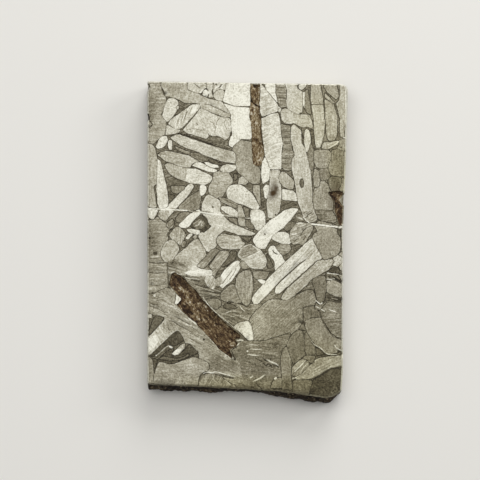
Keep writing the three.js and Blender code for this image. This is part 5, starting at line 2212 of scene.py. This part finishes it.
@dataclass(frozen=True)
class Softbox:
    """A square lamp: where it hangs, its size and its power in watts."""

    name: str
    at: tuple[float, float, float]
    size: float
    power: float


@dataclass(frozen=True)
class Studio:
    """A pale table, soft lamps and the camera at the picture's viewpoint.

    Attributes:
        surround: how light the dim light from all sides is.
        sensor: the width of the camera's sensor.
        clip: the nearest and farthest that the camera sees, in metres.
    """

    table_size: float = 600.0
    table_colour: Colour = (238, 236, 230)
    table_roughness: float = 0.8
    lamps: tuple[Softbox, ...] = (
        Softbox("overhead lamp", (-35.0, 55.0, 330.0), 300.0, 0.62),
        Softbox("far lamp", (90.0, 300.0, 190.0), 220.0, 0.6),
        Softbox("right lamp", (310.0, 140.0, 190.0), 150.0, 0.32),
    )
    surround: float = 0.16
    sensor: float = 36.0
    clip: tuple[float, float] = (0.01, 10.0)

    def set_table(self) -> bpy.types.Object:
        """Sets the table under the slice.

        Returns:
            The table.
        """
        bm = bmesh.new()
        bmesh.ops.create_grid(bm, x_segments=1, y_segments=1, size=self.table_size / 2 * MM)
        mesh = bpy.data.meshes.new("table")
        bm.to_mesh(mesh)
        bm.free()
        paint = Shader("pale table")
        mesh.materials.append(
            paint.finish(Base_Color=light(self.table_colour), Roughness=self.table_roughness)
        )
        table = bpy.data.objects.new("table", mesh)
        bpy.context.scene.collection.objects.link(table)
        return table

    def hang_lamps(self) -> None:
        """Hangs the lamps, each turned to the slice, in a dim even surround."""
        for box in self.lamps:
            data = bpy.data.lights.new(box.name, "AREA")
            data.size = box.size * MM
            data.energy = box.power
            lamp = bpy.data.objects.new(box.name, data)
            lamp.location = Vector(box.at) * MM
            lamp.rotation_euler = (-lamp.location).to_track_quat("-Z", "Y").to_euler()
            bpy.context.scene.collection.objects.link(lamp)
        world = bpy.data.worlds.new("studio")
        world.use_nodes = True
        background = world.node_tree.nodes["Background"]
        background.inputs["Color"].default_value = (*(self.surround,) * 3, 1.0)
        bpy.context.scene.world = world

    def place_camera(self) -> bpy.types.Object:
        """Puts the camera at the picture's viewpoint.

        Returns:
            The camera.
        """
        data = bpy.data.cameras.new("camera")
        data.sensor_width = self.sensor
        data.lens = self.sensor * VIEW.distance / VIEW.width
        data.clip_start, data.clip_end = self.clip
        camera = bpy.data.objects.new("camera", data)
        aim = Vector((*VIEW.aim, THICKNESS))
        camera.location = (aim + VIEW.towards_camera * VIEW.distance) * MM
        camera.rotation_euler = VIEW.towards_camera.to_track_quat("Z", "Y").to_euler()
        bpy.context.scene.collection.objects.link(camera)
        bpy.context.scene.camera = camera
        return camera


def main() -> None:
    """Builds the slice and its studio, in order, and notes the sizes."""
    logging.basicConfig(level=logging.INFO, format="%(name)s: %(message)s")
    piece = EtchedSlice().build()
    log.info("piece: %s", piece.name)
    studio = Studio()
    studio.set_table()
    studio.hang_lamps()
    camera = studio.place_camera()
    log.info("studio: %d lamps, lens %.1f mm", len(studio.lamps), camera.data.lens)
    bpy.context.scene.view_settings.view_transform = "Standard"


if __name__ == "__main__":
    main()
